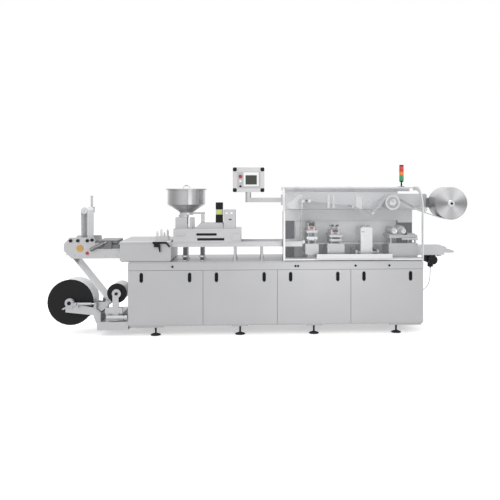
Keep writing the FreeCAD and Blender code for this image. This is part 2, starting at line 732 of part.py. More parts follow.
def heater_cylinder():
    """Inclined air cylinder in front of the in-feed."""
    body = turned(0, 0, 0, [(17, 0), (20, 4), (20, 146), (17, 150)], "x")
    shape = join([body, rod(150, 0, 0, 9, 40, "x")])
    shape.rotate(Vector(0, 0, 0), Vector(0, 1, 0), -26)
    shape.translate(Vector(HEATER_LEFT - 45, SIDE_FRONT - 20 - SEAT, PASS_LINE - 50))
    return shape


def heater():
    """Lower heating plate, upper plate on its lugs, and the lift cylinder."""
    right = HEATER_LEFT + HEATER_LENGTH
    lower = box(HEATER_LEFT, right, SIDE_INNER, SIDE_BACK, PASS_LINE - 72, BED)
    upper = box(HEATER_LEFT + 30, right - 15, WEB_FRONT - 10, WEB_BACK + 10, PASS_LINE + 12, PASS_LINE + 48)
    upper = bevel(upper, 6, lambda edge: edge.BoundBox.ZMin > PASS_LINE + 47)
    lugs = []
    for y0, y1 in ((SIDE_FRONT - 10, WEB_FRONT - 10), (WEB_BACK + 10, SIDE_BACK + SIDE_THICK + 10)):
        lugs.append(box(HEATER_LEFT + 90, HEATER_LEFT + 170, y0, y1, PASS_LINE - 40, PASS_LINE + 40))
    return group([lower, join([upper] + lugs), heater_cylinder()])


def forming_housing():
    """Closed hood over the forming station, rounded along its top edges."""
    low = TABLE + 11
    hood = box(HOOD_LEFT, HOOD_RIGHT, HOOD_FRONT, HOOD_BACK, low, HOOD_TOP)
    hood = bevel(hood, 8, lambda edge: edge.BoundBox.ZMin > HOOD_TOP - 1)
    base = box(HOOD_LEFT + 12, HOOD_RIGHT - 12, HOOD_FRONT + 12, HOOD_BACK - 12, TABLE, low)
    groove = box(HOOD_LEFT, HOOD_RIGHT, HOOD_FRONT, HOOD_FRONT + 4, HOOD_TOP - 31, HOOD_TOP - 25)
    return join([hood, base]).cut(groove)


def forming_fittings():
    """Block with hose fittings on the hood, and its dark clamps in front."""
    x = HOOD_LEFT
    block = [box(x + 333, x + 479, HOOD_FRONT + 160, HOOD_FRONT + 250, HOOD_TOP, HOOD_TOP + 37)]
    for along, tall in ((356, 40), (398, 62), (430, 30), (464, 58)):
        profile = [(11, 0), (11, tall), (6, tall + 0.01), (6, tall + 14)]
        block.append(turned(x + along, HOOD_FRONT + 202, HOOD_TOP + 37, profile, "z"))
    return join(block)


def forming_clamps():
    """Dark clamp plate, tapered lever and stay on the front of the hood."""
    x = HOOD_LEFT
    y = HOOD_FRONT
    z = HOOD_TOP
    parts = [box(x + 339, x + 476, y - 24, y, z - 24, z - 4), box(x + 352, x + 400, y - 20, y, z - 60, z - 24)]
    parts.append(side_plate([(x + 392, z - 31), (x + 416, z - 31), (x + 421, z - 110), (x + 410, z - 110)], y - 36, y - 20))
    parts.append(side_plate([(x + 466, z - 14), (x + 478, z - 4), (x + 520, z - 54), (x + 506, z - 62)], y - 24, y - 10))
    return join(parts)


def web_rails():
    """Channel that carries the film, on its posts with thumb wheels."""
    right = SEAL_LEFT - 32
    front = WEB_FRONT - CHANNEL_WALL + 2
    back = WEB_BACK + CHANNEL_WALL - 2
    parts = [
        box(HOOD_RIGHT, right, front, back, CHANNEL_LOW, BED),
        box(HOOD_RIGHT, right, front - 24, front, CHANNEL_LOW, CHANNEL_HIGH),
        box(HOOD_RIGHT, right, back, back + 16, CHANNEL_LOW, CHANNEL_HIGH),
    ]
    for x in (HOOD_RIGHT + 136, HOOD_RIGHT + 316, FEEDER_RIGHT - 66, (FEEDER_RIGHT + GUARD_LEFT) / 2):
        for y in (front, back):
            tall = CHANNEL_LOW - TABLE
            profile = [(24, 0), (24, 10), (13, 10), (13, tall)]
            parts.append(turned(x, y, TABLE, profile, "z", 8))
    for x in (HOOD_RIGHT + 136, HOOD_RIGHT + 316):
        parts.append(turned(x, front, TABLE + 40, [(27, 0), (30, 3), (30, 15), (27, 18)], "z"))
    return join(parts)


def feeder_box():
    """Brush feeder box with its slots, tapered hood and ledges."""
    x = FEEDER_LEFT
    back = STATION_BACK
    front = WEB_FRONT - 50
    top = FEEDER_TOP
    body = box(x, FEEDER_RIGHT, front, back, CHANNEL_HIGH, top)
    tunnel = box(x, FEEDER_RIGHT, WEB_FRONT, WEB_BACK, CHANNEL_HIGH, CHANNEL_HIGH + 10)
    slot = box(x + 237, x + 453, front, front + 6, top - 71, top - 45)
    slot = bevel(slot, 8, edge_along("y"))
    window = box(x + 248, x + 530, front, front + 8, top - 122, top - 96)
    body = body.cut([tunnel, slot, window])
    taper = [(x + 217, top), (x + 274, HOOD_TOP_FEEDER), (x + 511, HOOD_TOP_FEEDER), (x + 519, top)]
    hood = side_plate(taper, WEB_FRONT + 40, WEB_BACK - 20)
    ledges = [box(x + 21, x + 118, front - 20, front, top - 64, top - 52)]
    ledges.append(box(FEEDER_RIGHT - 92, FEEDER_RIGHT - 12, front - 20, front, top - 114, top - 52))
    return join([body, hood] + ledges)


def feeder_controls():
    """Sensor column on the tapered hood, and the small control box."""
    x = FEEDER_LEFT + 435
    column = box(x, x + 74, WEB_FRONT + 60, WEB_FRONT + 150, HOOD_TOP_FEEDER, COLUMN_TOP)
    column = bevel(column, 4, edge_along("z"))
    column = column.cut(box(x + 8, x + 66, WEB_FRONT + 60, WEB_FRONT + 64, COLUMN_TOP - 129, COLUMN_TOP - 73))
    case = box(CONTROL_RIGHT - CONTROL_WIDTH, CONTROL_RIGHT, WEB_FRONT + 10, WEB_BACK - 70, FEEDER_TOP, CONTROL_TOP)
    return group([column, bevel(case, 4, edge_along("z"))])


def hopper_base():
    """Block, clamp, collar and bracket that carry the hopper, and the bars beside them."""
    x = HOPPER_X
    y = HOPPER_Y
    low = HOPPER_LOW - 54
    block = box(x - 110, x + 13, y - 80, y + 80, FEEDER_TOP, low)
    clamp = turned(x - 25, y, low, [(58, 0), (58, 28)], "z")
    collar = turned(x, y, low + 28, [(HOPPER_NECK + 2, 0), (HOPPER_NECK + 2, 26)], "z")
    arm = box(x + 60, x + 195, y - 30, y + 30, HOPPER_LOW - 18, HOPPER_LOW)
    posts = [rod(x + along, y, HOOD_TOP_FEEDER, 8, HOPPER_LOW - 18 - HOOD_TOP_FEEDER, "z") for along in (165, 185)]
    chute = rod(x, y, FEEDER_TOP + 40, HOPPER_NECK - 28, HOPPER_LOW - FEEDER_TOP, "z")
    carrier = join([block, clamp, collar, arm] + posts).cut(chute)
    dark = box(x + 40, x + 62, y - 80, y - 40, FEEDER_TOP, FEEDER_TOP + 116)
    light = rod(x + 80, y - 50, FEEDER_TOP, 13, 116, "z")
    return group([carrier, dark, light])


def hopper():
    """Round hopper: cone, barrel and rolled lip."""
    radius = HOPPER_RADIUS
    wall = HOPPER_WALL
    height = CONE_HEIGHT + BARREL_HEIGHT
    outer = turned(HOPPER_X, HOPPER_Y, HOPPER_LOW, [(HOPPER_NECK, 0), (radius, CONE_HEIGHT), (radius, height)], "z")
    lip = rod(HOPPER_X, HOPPER_Y, BARREL_TOP - LIP_THICK, radius + HOPPER_LIP, LIP_THICK, "z")
    hollow = [(HOPPER_NECK - wall, 0), (radius - wall, CONE_HEIGHT), (radius - wall, height)]
    return join([outer, lip]).cut(turned(HOPPER_X, HOPPER_Y, HOPPER_LOW, hollow, "z"))


def hopper_lid():
    """Flat lid with a half-round handle."""
    base = BARREL_TOP + SEAT
    top = base + LID_THICK
    lid = rod(HOPPER_X, HOPPER_Y, base, HOPPER_RADIUS + HOPPER_LIP, LID_THICK, "z")
    steps = [math.pi * i / 8 for i in range(9)]
    arch = [(HOPPER_X + 40 * math.cos(angle), top + 40 * math.sin(angle)) for angle in steps]
    inner = [(HOPPER_X + 29 * math.cos(angle), top + 29 * math.sin(angle)) for angle in reversed(steps)]
    return join([lid, side_plate(arch + inner, HOPPER_Y - 6, HOPPER_Y + 6)])


def upper_housing():
    """Closed housing behind the bay with its fold, white wall and operator arm socket."""
    body = box(HOUSING_LEFT, HOUSING_RIGHT, HOUSING_FRONT, DEPTH, HOUSING_BOTTOM, HOUSING_TOP)
    fold = box(HOUSING_LEFT, HOUSING_RIGHT, FACE, HOUSING_FRONT, FOLD_BOTTOM, HOUSING_TOP)
    fold = bevel(fold, 6, lambda edge: edge.BoundBox.YMax < FACE + 0.01 and edge.BoundBox.XLength > 9)
    left = HOUSING_LEFT + PILLAR_WIDTH + 1
    wall = box(left, HOUSING_RIGHT - 6, HOUSING_FRONT + WALL_INSET, DEPTH, TABLE, HOUSING_BOTTOM)
    socket = box(HOUSING_LEFT - 44, HOUSING_LEFT, HOUSING_FRONT + 8, DEPTH - 100, ARM_Z - 32, ARM_Z + 83)
    return join([body, fold, wall, socket, hinge_beam()])


def hinge_beam():
    """Fixed beam along the top that the guard hangs from, with its knuckles."""
    left = GUARD_LEFT + 36
    right = PILLAR_RIGHT - 26
    parts = [box(left, right, TOP_BEAM_FRONT, TOP_BEAM_FRONT + TOP_BEAM_DEPTH, HOUSING_TOP, TOP_BEAM)]
    for place in KNUCKLE_PLACES:
        x = GUARD_LEFT + place
        parts.append(rod(x, HINGE_Y, HINGE_Z, KNUCKLE_RADIUS, KNUCKLE_WIDTH, "x"))
        parts.append(box(x, x + KNUCKLE_WIDTH, HINGE_Y, TOP_BEAM_FRONT, HINGE_Z - 10, HINGE_Z + 8))
    return join(parts).cut(shaft(GUARD_LEFT, HINGE_Y, HINGE_Z, HINGE_PIN + HOLE_PLAY, GUARD_LENGTH, "x"))


def housing_pillars():
    """Dark pillars either side of the white wall."""
    y = HOUSING_FRONT + 8
    left = box(HOUSING_LEFT, HOUSING_LEFT + PILLAR_WIDTH, y, DEPTH, TABLE, HOUSING_BOTTOM)
    right = box(HOUSING_RIGHT - 5, PILLAR_RIGHT, y, DEPTH, TABLE, HOUSING_BOTTOM - 23)
    return group([left, right])


def foil_beam():
    """Beam with the bearing of the foil reel, over the right pillar."""
    low = HOUSING_BOTTOM - 23
    panel = box(HOUSING_RIGHT, PILLAR_RIGHT, HOUSING_FRONT, DEPTH, low, BEAM_LOW)
    arm = box(HOUSING_RIGHT, BEAM_END, HOUSING_FRONT + 20, DEPTH - 100, BEAM_LOW, BEAM_HIGH)
    arm = bevel(arm, 14, lambda edge: edge.BoundBox.XMin > BEAM_END - 0.01)
    nose = box(BEAM_END - 20, FOIL_X + 40, HOUSING_FRONT + 30, HOUSING_FRONT + 80, FOIL_Z - 54, FOIL_Z + 56)
    bearing = rod(FOIL_X, HOUSING_FRONT + 10, FOIL_Z, 62, 90)
    bore = shaft(FOIL_X, HOUSING_FRONT, FOIL_Z, SHAFT_RADIUS + HOLE_PLAY, 110)
    return join([panel, arm, nose, bearing]).cut(bore)


def guard_profile(inset):
    """Points of the guard's outline in YZ, moved inwards by a distance."""
    radius = GUARD_CURVE - inset
    centre_y = GUARD_CURVE
    centre_z = GUARD_TOP - GUARD_CURVE
    turn = radius * math.sqrt(0.5)
    low = (inset, GUARD_BOTTOM)
    bend = (inset, centre_z)
    middle = (centre_y - turn, centre_z + turn)
    crown = (centre_y, GUARD_TOP - inset)
    rear = (GUARD_REAR, GUARD_TOP - inset)
    return low, bend, middle, crown, rear


def guard_slab(x0, x1, outer, inner):
    """Curved slab of the guard between two insets."""
    a = [Vector(x0, y, z) for y, z in guard_profile(outer)]
    b = [Vector(x0, y, z) for y, z in guard_profile(inner)]
    edges = [
        Part.makeLine(a[0], a[1]),
        Part.Arc(a[1], a[2], a[3]).toShape(),
        Part.makeLine(a[3], a[4]),
        Part.makeLine(a[4], b[4]),
        Part.makeLine(b[4], b[3]),
        Part.Arc(b[3], b[2], b[1]).toShape(),
        Part.makeLine(b[1], b[0]),
        Part.makeLine(b[0], a[0]),
    ]
    return Part.Face(Part.Wire(edges)).extrude(Vector(x1 - x0, 0, 0))


def hinge_gaps():
    """Room round the fixed knuckles of the guard hinge."""
    gaps = []
    for place in KNUCKLE_PLACES:
        x = GUARD_LEFT + place
        gaps.append(box(x - 6, x + KNUCKLE_WIDTH + 6, GUARD_REAR - 15, GUARD_REAR + 1, HINGE_Z - 32, GUARD_TOP + 15))
    return gaps


def guard_sheet():
    """Clear curved sheet of the guard."""
    sheet = guard_slab(GUARD_LEFT + RIB_WIDTH_LEFT, GUARD_RIGHT - RIB_WIDTH_RIGHT, 0, GUARD_SHEET)
    return sheet.cut(hinge_gaps())


def guard_leaf():
    """Hinge leaf, pin and bridges at the rear edge of the guard."""
    x0 = GUARD_LEFT + RIB_WIDTH_LEFT
    x1 = GUARD_RIGHT - RIB_WIDTH_RIGHT
    leaf = box(x0, x1, GUARD_REAR - 55, GUARD_REAR, GUARD_TOP - 20, GUARD_TOP - GUARD_SHEET).cut(hinge_gaps())
    first = GUARD_LEFT + KNUCKLE_PLACES[0]
    last = GUARD_LEFT + KNUCKLE_PLACES[-1] + KNUCKLE_WIDTH
    parts = [leaf, axle(first - 4, HINGE_Y, HINGE_Z, HINGE_PIN, last - first + 8, "x")]
    for before, after in zip(KNUCKLE_PLACES[:-1], KNUCKLE_PLACES[1:]):
        start = GUARD_LEFT + before + KNUCKLE_WIDTH + 6
        end = GUARD_LEFT + after - 6
        parts.append(box(start, end, GUARD_REAR - 4, HINGE_Y, HINGE_Z - 6, HINGE_Z + 6))
    return parts


def guard_handle():
    """Long bar handle on two stand-offs, on the front of the guard."""
    x0 = GUARD_LEFT + 347
    x1 = GUARD_LEFT + 1145
    z = GUARD_BOTTOM + 15
    bar = bevel(box(x0, x1, -30, -12, z, z + 52), 6, edge_along("x"))
    stands = [box(x, x + 30, -12, 0, z + 10, z + 42) for x in (x0 + 33, x1 - 63)]
    return join([bar] + stands)


def guard_frame():
    """Edge ribs, bottom strip, hinge leaf and handle of the guard."""
    left = guard_slab(GUARD_LEFT, GUARD_LEFT + RIB_WIDTH_LEFT, 0, RIB_DEEP)
    right = guard_slab(GUARD_RIGHT - RIB_WIDTH_RIGHT, GUARD_RIGHT, 0, RIB_DEEP)
    x0 = GUARD_LEFT + RIB_WIDTH_LEFT
    x1 = GUARD_RIGHT - RIB_WIDTH_RIGHT
    strip = box(x0, x1, GUARD_SHEET, GUARD_SHEET + 14, GUARD_BOTTOM, GUARD_BOTTOM + 26)
    return group([join([left, right, strip] + guard_leaf()), guard_handle()])


def signal_tower():
    """Stem, three lenses and cap, with a fine groove between them."""
    profile = [(34, 0), (34, 8), (9, 8.01), (9, TOWER_STEM), (TOWER_RADIUS - 2, TOWER_STEM + 0.01)]
    height = TOWER_STEM + 12
    profile.append((TOWER_RADIUS - 2, height - 0.01))
    for lens in LENS_HEIGHTS + (CAP_HEIGHT,):
        profile += [(TOWER_RADIUS, height), (TOWER_RADIUS, height + lens - LENS_GROOVE)]
        profile.append((TOWER_RADIUS - 1.5, height + lens - LENS_GROOVE / 2))
        height += lens
    return turned(TOWER_X, TOWER_Y, TOP_BEAM, profile[:-1], "z", 12)


def foil_guides():
    """Rollers, plates and the large wheel that lead the foil along the housing."""
    pieces = []
    for x, z, radius in FOIL_STOPS:
        back = FACE
        if x > HOUSING_RIGHT:
            back = HOUSING_FRONT + 20
        if z < HOUSING_BOTTOM:
            back = HOUSING_FRONT + WALL_INSET
        pin = min(PIN_RADIUS, radius - 3)
        pieces.append(join([rod(x, WEB_FRONT - 6, z, radius, WEB_WIDTH + 12), rod(x, SIDE_FRONT, z, pin, back - SIDE_FRONT)]))
    y = FACE - 10
    x = HOUSING_LEFT
    z = FOIL_Z
    pieces.append(side_plate([(x + 6, z - 19), (x + 150, z + 93), (x + 188, z + 93), (x + 188, z - 64), (x + 50, z - 64)], y, FACE))
    for along in (473, 530):
        pieces.append(box(x + along - 14, x + along + 14, y, FACE, z - 54, z + 76))
    pieces.append(box(x + 777, x + 847, y, FACE, z - 70, z + 70))
    arch = [(852, -34), (852, 44), (949, 44), (949, -34), (930, -34), (930, 26), (871, 26), (871, -34)]
    pieces.append(side_plate([(x + along, z + up) for along, up in arch], y, FACE))
    wheel_x, wheel_z, _ = WHEEL
    rim = turned(wheel_x, WEB_FRONT - 12, wheel_z, [(WHEEL_RADIUS + 6, 0), (WHEEL_RADIUS + 6, 6)])
    rim = rim.cut(rod(wheel_x, WEB_FRONT - 12, wheel_z, 58, 6))
    hub = turned(wheel_x, WEB_FRONT - 18, wheel_z, [(30, 0), (34, 4), (34, 12)], "y", 12)
    pieces.append(group([rim, hub.cut(rod(wheel_x, WEB_FRONT - 18, wheel_z, PIN_RADIUS, 12))]))
    return group(pieces)


def foil_roll():
    """Wound foil."""
    return ring(FOIL_X, FOIL_FACE, FOIL_Z, FOIL_ROLL_RADIUS, CORE_RADIUS, FOIL_DEPTH)


def foil_hub():
    """Hub, core and shaft of the foil reel."""
    hub = turned(FOIL_X, FOIL_FACE - 15, FOIL_Z, [(FOIL_HUB - 6, 0), (FOIL_HUB, 6), (FOIL_HUB, 15)])
    core = rod(FOIL_X, FOIL_FACE, FOIL_Z, CORE_RADIUS, FOIL_DEPTH + 5)
    start = FOIL_FACE - 20
    return join([hub, core, axle(FOIL_X, start, FOIL_Z, SHAFT_RADIUS, HOUSING_FRONT + 82 - start)])


def film_web():
    """Forming film from the reel to the hood, and formed film from the hood to the punch."""
    stops = [
        (REEL_X, REEL_Z, FILM_ROLL_RADIUS, 1),
        DANCER + (1,),
        TOP_ROLLER + (-1,),
        LOOP_LEFT + (1,),
        LOOP_TOP + (-1,),
        LOOP_RIGHT + (1,),
        (HOOD_LEFT, PASS_LINE + FILM_THICK / 2, 0.0, 1),
    ]
    formed = box(HOOD_RIGHT, PUNCH_RIGHT - 2, WEB_FRONT, WEB_BACK, PASS_LINE, FILM_TOP)
    return group([web_path(stops, FILM_THICK), formed])


def foil_web():
    """Foil from its reel over the rollers, down to the film and on with it."""
    stops = [(FOIL_X, FOIL_Z, FOIL_ROLL_RADIUS, -1)]
    stops += [stop + (turn,) for stop, turn in zip(FOIL_STOPS, FOIL_TURNS)]
    stops.append((PUNCH_RIGHT - 2, FILM_TOP + FOIL_THICK / 2, 0.0, 1))
    return web_path(stops, FOIL_THICK)


def guide_posts(left, length, low, high):
    """Four guide posts of a station, with a collar at each foot."""
    posts = []
    for x in guide_columns(left, length):
        for y in GUIDE_ROWS:
            profile = [(GUIDE_COLLAR, 0), (GUIDE_COLLAR, 8), (GUIDE_RADIUS, 8.01), (GUIDE_RADIUS, high - low)]
            posts.append(turned(x, y, low, profile, "z"))
    return posts


def guide_columns(left, length):
    """X of the two columns of guide posts."""
    return (left + length * 0.24, left + length * 0.76)


def station(left, length, head, top):
    """Base plate, pedestal, bed, guide posts, head plate and drive case of a station."""
    right = left + length
    first, last = guide_columns(left, length)
    parts = [
        box(left, right, STATION_FRONT, STATION_BACK, TABLE, TABLE + BASE_THICK),
        box(left + 25, right - 25, WEB_FRONT, WEB_BACK, TABLE + BASE_THICK, BED_LOW),
        box(left, right, STATION_FRONT, STATION_BACK, BED_LOW, BED),
        box(first - 22, last + 22, STATION_FRONT - 4, STATION_BACK + 4, head, head + 26),
        bevel(box(first - 6, last + 6, WEB_FRONT + 20, WEB_BACK - 20, head + 26, top), 6, edge_along("z")),
    ]
    return join(parts + guide_posts(left, length, BED, head))


def sealing_frame():
    """Sealing station with the bore for its ram."""
    ram_x = SEAL_LEFT + SEAL_LENGTH / 2
    bore = rod(ram_x, WEB_MIDDLE, SEAL_HEAD, 20 + GUIDE_PLAY, 45, "z")
    return station(SEAL_LEFT, SEAL_LENGTH, SEAL_HEAD, SEAL_TOP).cut(bore)


def sealing_plate():
    """Moving heated plate on the four posts, with its ram."""
    first, last = guide_columns(SEAL_LEFT, SEAL_LENGTH)
    low = PASS_LINE + 50
    plate = box(first - 20, last + 20, STATION_FRONT, STATION_BACK, low, low + 26)
    holes = [rod(x, y, low, GUIDE_RADIUS + GUIDE_PLAY + 0.4, 26, "z") for x in (first, last) for y in GUIDE_ROWS]
    jaw = box(first - 14, last + 14, WEB_FRONT + 10, WEB_BACK - 10, low - 15, low)
    ram = rod(SEAL_LEFT + SEAL_LENGTH / 2, WEB_MIDDLE, low + 26, 20, 60, "z")
    return join([plate.cut(holes), jaw, ram])


def perforation_unit():
    """Perforating station with its blade plate and two adjusting knobs."""
    first, last = guide_columns(PERF_LEFT, PERF_LENGTH)
    low = PASS_LINE + 32
    parts = [station(PERF_LEFT, PERF_LENGTH, PERF_HEAD, PERF_TOP)]
    parts.append(box(first - 18, last + 18, STATION_FRONT + 2, STATION_BACK - 2, low, low + 18))
    parts.append(box(first - 4, last + 4, WEB_FRONT + 10, WEB_BACK - 10, low - 12, low))
    for x in (first + 16, last - 16):
        profile = [(7, 0), (7, 22), (20, 22.01), (20, 38), (15, 44)]
        parts.append(turned(x, WEB_MIDDLE, PERF_TOP, profile, "z"))
    return join(parts)


def traction_bed():
    """Fixed bed and slide bars of the traction unit."""
    right = TRACTION_LEFT + TRACTION_LENGTH
    parts = [box(TRACTION_LEFT, right, STATION_FRONT, STATION_BACK, TABLE, TABLE + BASE_THICK)]
    for x in (TRACTION_LEFT, right - 22):
        parts.append(box(x, x + 22, STATION_FRONT, STATION_BACK, TABLE + BASE_THICK, SLIDE_Z + 25))
    for y in (WEB_FRONT + 10, WEB_BACK - 10):
        parts.append(rod(TRACTION_LEFT + 22, y, SLIDE_Z, SLIDE_RADIUS, TRACTION_LENGTH - 44, "x"))
    return join(parts)


def traction_carriage():
    """Gripper carriage that draws the web along, with its black-capped clamps."""
    left = CARRIAGE_LEFT
    right = left + CARRIAGE_LENGTH
    front = STATION_FRONT + 10
    back = STATION_BACK - 10
    low = box(left, right, front, back, SLIDE_Z - 23, PASS_LINE - RUN_CLEAR)
    bores = []
    for y in (WEB_FRONT + 10, WEB_BACK - 10):
        bores.append(rod(left - 5, y, SLIDE_Z, SLIDE_RADIUS + GUIDE_PLAY + 0.4, CARRIAGE_LENGTH + 10, "x"))
    high = CARRIAGE_TOP
    parts = [box(left, right, y, y + 14, PASS_LINE - RUN_CLEAR, high - 51) for y in (front, back - 14)]
    parts.append(bevel(box(left, right, front, back, high - 91, high), 8, edge_along("y")))
    parts.append(box(left + 15, right - 15, WEB_FRONT + 2, WEB_BACK - 2, FILM_TOP + FOIL_THICK + RUN_CLEAR, high - 91))
    for x in (left + 38, right - 38):
        parts.append(turned(x, front + 60, high, [(16, 0), (16, 12), (12, 16)], "z"))
    return join([low.cut(bores)] + parts)


def punch_unit():
    """Punching unit with its posts, head, drive cylinder, motor and front bar."""
    left = PUNCH_LEFT
    right = PUNCH_RIGHT
    head = PUNCH_HEAD
    parts = [
        box(left, right, STATION_FRONT, STATION_BACK, TABLE, BED),
        box(left + 5, right - 5, STATION_FRONT - 4, STATION_BACK + 4, head, head + 31),
        box(left + 10, right - 20, WEB_FRONT, WEB_BACK - 20, head + 31, head + 43),
        turned(left + 55, WEB_FRONT - 50, head + 76, [(30, 0), (37, 6), (37, 300)]),
        rod(left + 150, WEB_FRONT + 40, head + 80, 45, 180),
        rod(left + 133, STATION_FRONT - 24, head - 9, 12, 170, "x"),
    ]
    for x in (left + 25, right - 25):
        for y in GUIDE_ROWS:
            parts.append(rod(x, y, BED, 11, head - BED, "z"))
    for x in (left + 145, left + 275):
        parts.append(box(x, x + 15, STATION_FRONT - 24, STATION_FRONT, head - 21, head + 3))
    return join(parts)


def outfeed():
    """Short discharge table with its end bar and chute."""
    left = PUNCH_RIGHT
    front = STATION_FRONT + 20
    back = STATION_BACK - 20
    low = OUT_TOP - OUT_DEEP
    bed = box(left, left + OUT_LENGTH, front, back, OUT_TOP - OUT_SHEET, OUT_TOP)
    sides = [box(left, left + OUT_LENGTH - 25, y, y + 12, low, OUT_TOP) for y in (front - 12, back)]
    bar_left = left + OUT_LENGTH - 43
    bar = box(bar_left, bar_left + END_BAR_LENGTH, front - 12, back + 12, OUT_TOP - 62, OUT_TOP - 38)
    bar = bevel(bar, 5, edge_along("y"))
    chute = [(bar_left - 42, low - 15), (bar_left - 8, low - 15), (bar_left - 14, low + 23), (bar_left - 14, OUT_TOP - 15),
             (bar_left - 36, OUT_TOP - 15), (bar_left - 36, low + 20)]
    return join([bed, bar] + sides + [side_plate(chute, front, back)])


def outfeed_motor():
    """Gear motor under the discharge table, and the cable glands."""
    x = MOTOR_X
    y = WEB_FRONT
    high = OUT_TOP - OUT_SHEET
    head = bevel(box(x - 62, x + 40, y, y + 120, 735, high), 8, edge_along("y"))
    body = turned(x, y - 50, OUT_TOP - OUT_DEEP - 50 - GUIDE_PLAY, [(42, 0), (50, 6), (50, 50)])
    nub = rod(x, y + 60, 683, 30, 52, "z")
    start = CABLE_ROUTE[0]
    end = CABLE_ROUTE[-1]
    upper = turned(start[0], CABLE_Y, start[1], [(7, 0), (10, 4), (10, 683 - start[1])], "z")
    lower = rod(RIGHT, CABLE_Y, end[1], 10, end[0] - RIGHT, "x")
    return group([join([head, body, nub, upper]), lower])


def outfeed_cable():
    """Motor cable as straight runs with round bends."""
    points = [Vector(x, CABLE_Y, z) for x, z in CABLE_ROUTE]
    edges = []
    start = points[0]
    for before, corner, after in zip(points, points[1:], points[2:]):
        back = (before - corner).normalize()
        ahead = (after - corner).normalize()
        turn = math.pi - back.getAngle(ahead)
        reach = 0.45 * min(before.distanceToPoint(corner), after.distanceToPoint(corner))
        radius = reach / math.tan(turn / 2)
        print("cable bend radius", round(radius, 1))
        bisector = (back + ahead).normalize()
        centre = corner + bisector * (radius / math.cos(turn / 2))
        edges.append(Part.makeLine(start, corner + back * reach))
        edges.append(Part.Arc(corner + back * reach, centre - bisector * radius, corner + ahead * reach).toShape())
        start = corner + ahead * reach
    edges.append(Part.makeLine(start, points[-1]))
    spine = Part.Wire(edges)
    section = outline(CABLE_RADIUS, 6)
    section.translate(points[0])
    tube = spine.makePipeShell([section], True, True)
    area = Part.Face(section).Area
    print("cable length", round(spine.Length, 1), "volume ratio", round(tube.Volume / (spine.Length * area), 4))
    return tube


def hmi_arm():
    """Arm from the housing with its upright bearing under the operator panel."""
    half = ARM_TUBE / 2
    tube = box(PANEL_X, HOUSING_LEFT - 44, PANEL_ARM_Y - half, PANEL_ARM_Y + half, ARM_Z, ARM_Z + ARM_TUBE)
    return join([tube, rod(PANEL_X, PANEL_ARM_Y, ARM_Z, ARM_DROP_RADIUS, ARM_DROP, "z")])


def hmi_case():
    """Operator panel case with its raised face and neck."""
    x0 = PANEL_X - 170
    x1 = x0 + PANEL_WIDE
    y0 = PANEL_ARM_Y - PANEL_DEEP / 2
    case = box(x0, x1, y0, y0 + PANEL_DEEP, PANEL_LOW, PANEL_LOW + PANEL_HIGH)
    case = bevel(case, PANEL_CORNER, edge_along("y"))
    face = box(x0 + 52, x1 - 47, y0 - 4, y0, PANEL_LOW + 47, PANEL_LOW + PANEL_HIGH - 51)
    neck = rod(PANEL_X, PANEL_ARM_Y, ARM_Z + ARM_DROP + NECK_GAP, ARM_DROP_RADIUS, NECK, "z")
    return join([case, face, neck])


NODES = {
    "base_frame": base_frame,
    "levelling_feet": levelling_feet,
    "cabinet": cabinet,
    "front_panels": lambda: group([front_panel(number) for number in range(PANEL_COUNT)]),
    "finger_pulls": finger_pulls,
    "reel_stand": reel_stand,
    "reel_fittings": lambda: group([reel_clamp(), arm_strut(), dancer_block(), spare_cylinder()]),
    "film_reel": film_reel,
    "film_roll": film_roll,
    "spare_reel": spare_reel,
    "spare_roll": spare_roll,
    "guide_rollers": guide_rollers,
    "infeed_frame": infeed_frame,
    "infeed_knobs": infeed_knobs,
    "heater": heater,
    "forming_housing": forming_housing,
    "forming_fittings": forming_fittings,
    "forming_clamps": forming_clamps,
    "film_web": film_web,
    "web_rails": web_rails,
    "feeder_box": feeder_box,
    "feeder_controls": feeder_controls,
    "hopper_base": hopper_base,
    "hopper": hopper,
    "hopper_lid": hopper_lid,
    "upper_housing": upper_housing,
    "housing_pillars": housing_pillars,
    "foil_beam": foil_beam,
    "guard_sheet": guard_sheet,
    "guard_frame": guard_frame,
    "signal_tower": signal_tower,
    "foil_guides": foil_guides,
    "foil_web": foil_web,
    "foil_roll": foil_roll,
    "foil_hub": foil_hub,
    "sealing_frame": sealing_frame,
    "sealing_plate": sealing_plate,
    "perforation_unit": perforation_unit,
    "traction_bed": traction_bed,
    "traction_carriage": traction_carriage,
    "punch_unit": punch_unit,
    "outfeed": outfeed,
    "outfeed_motor": outfeed_motor,
    "outfeed_cable": outfeed_cable,
    "hmi_arm": hmi_arm,
    "hmi_case": hmi_case,
}


def build():
    """Every node in its place, with the origin on the floor under the middle of the machine."""
    shapes = {name: make() for name, make in NODES.items()}
    bounds = FreeCAD.BoundBox()
    for name, shape in shapes.items():
        if name != "outfeed_cable":
            bounds.add(shape.BoundBox)
    shift = Vector(-bounds.Center.x, -bounds.Center.y, -bounds.ZMin)
    for shape in shapes.values():
        shape.translate(shift)
    return shapes, shift


if __name__ == "__main__":
    os.makedirs("parts", exist_ok=True)
    shapes, shift = build()
    print("origin moved by", shift)
    for name, shape in shapes.items():
        shape.exportStep("parts/" + name + ".step")
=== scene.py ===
import math

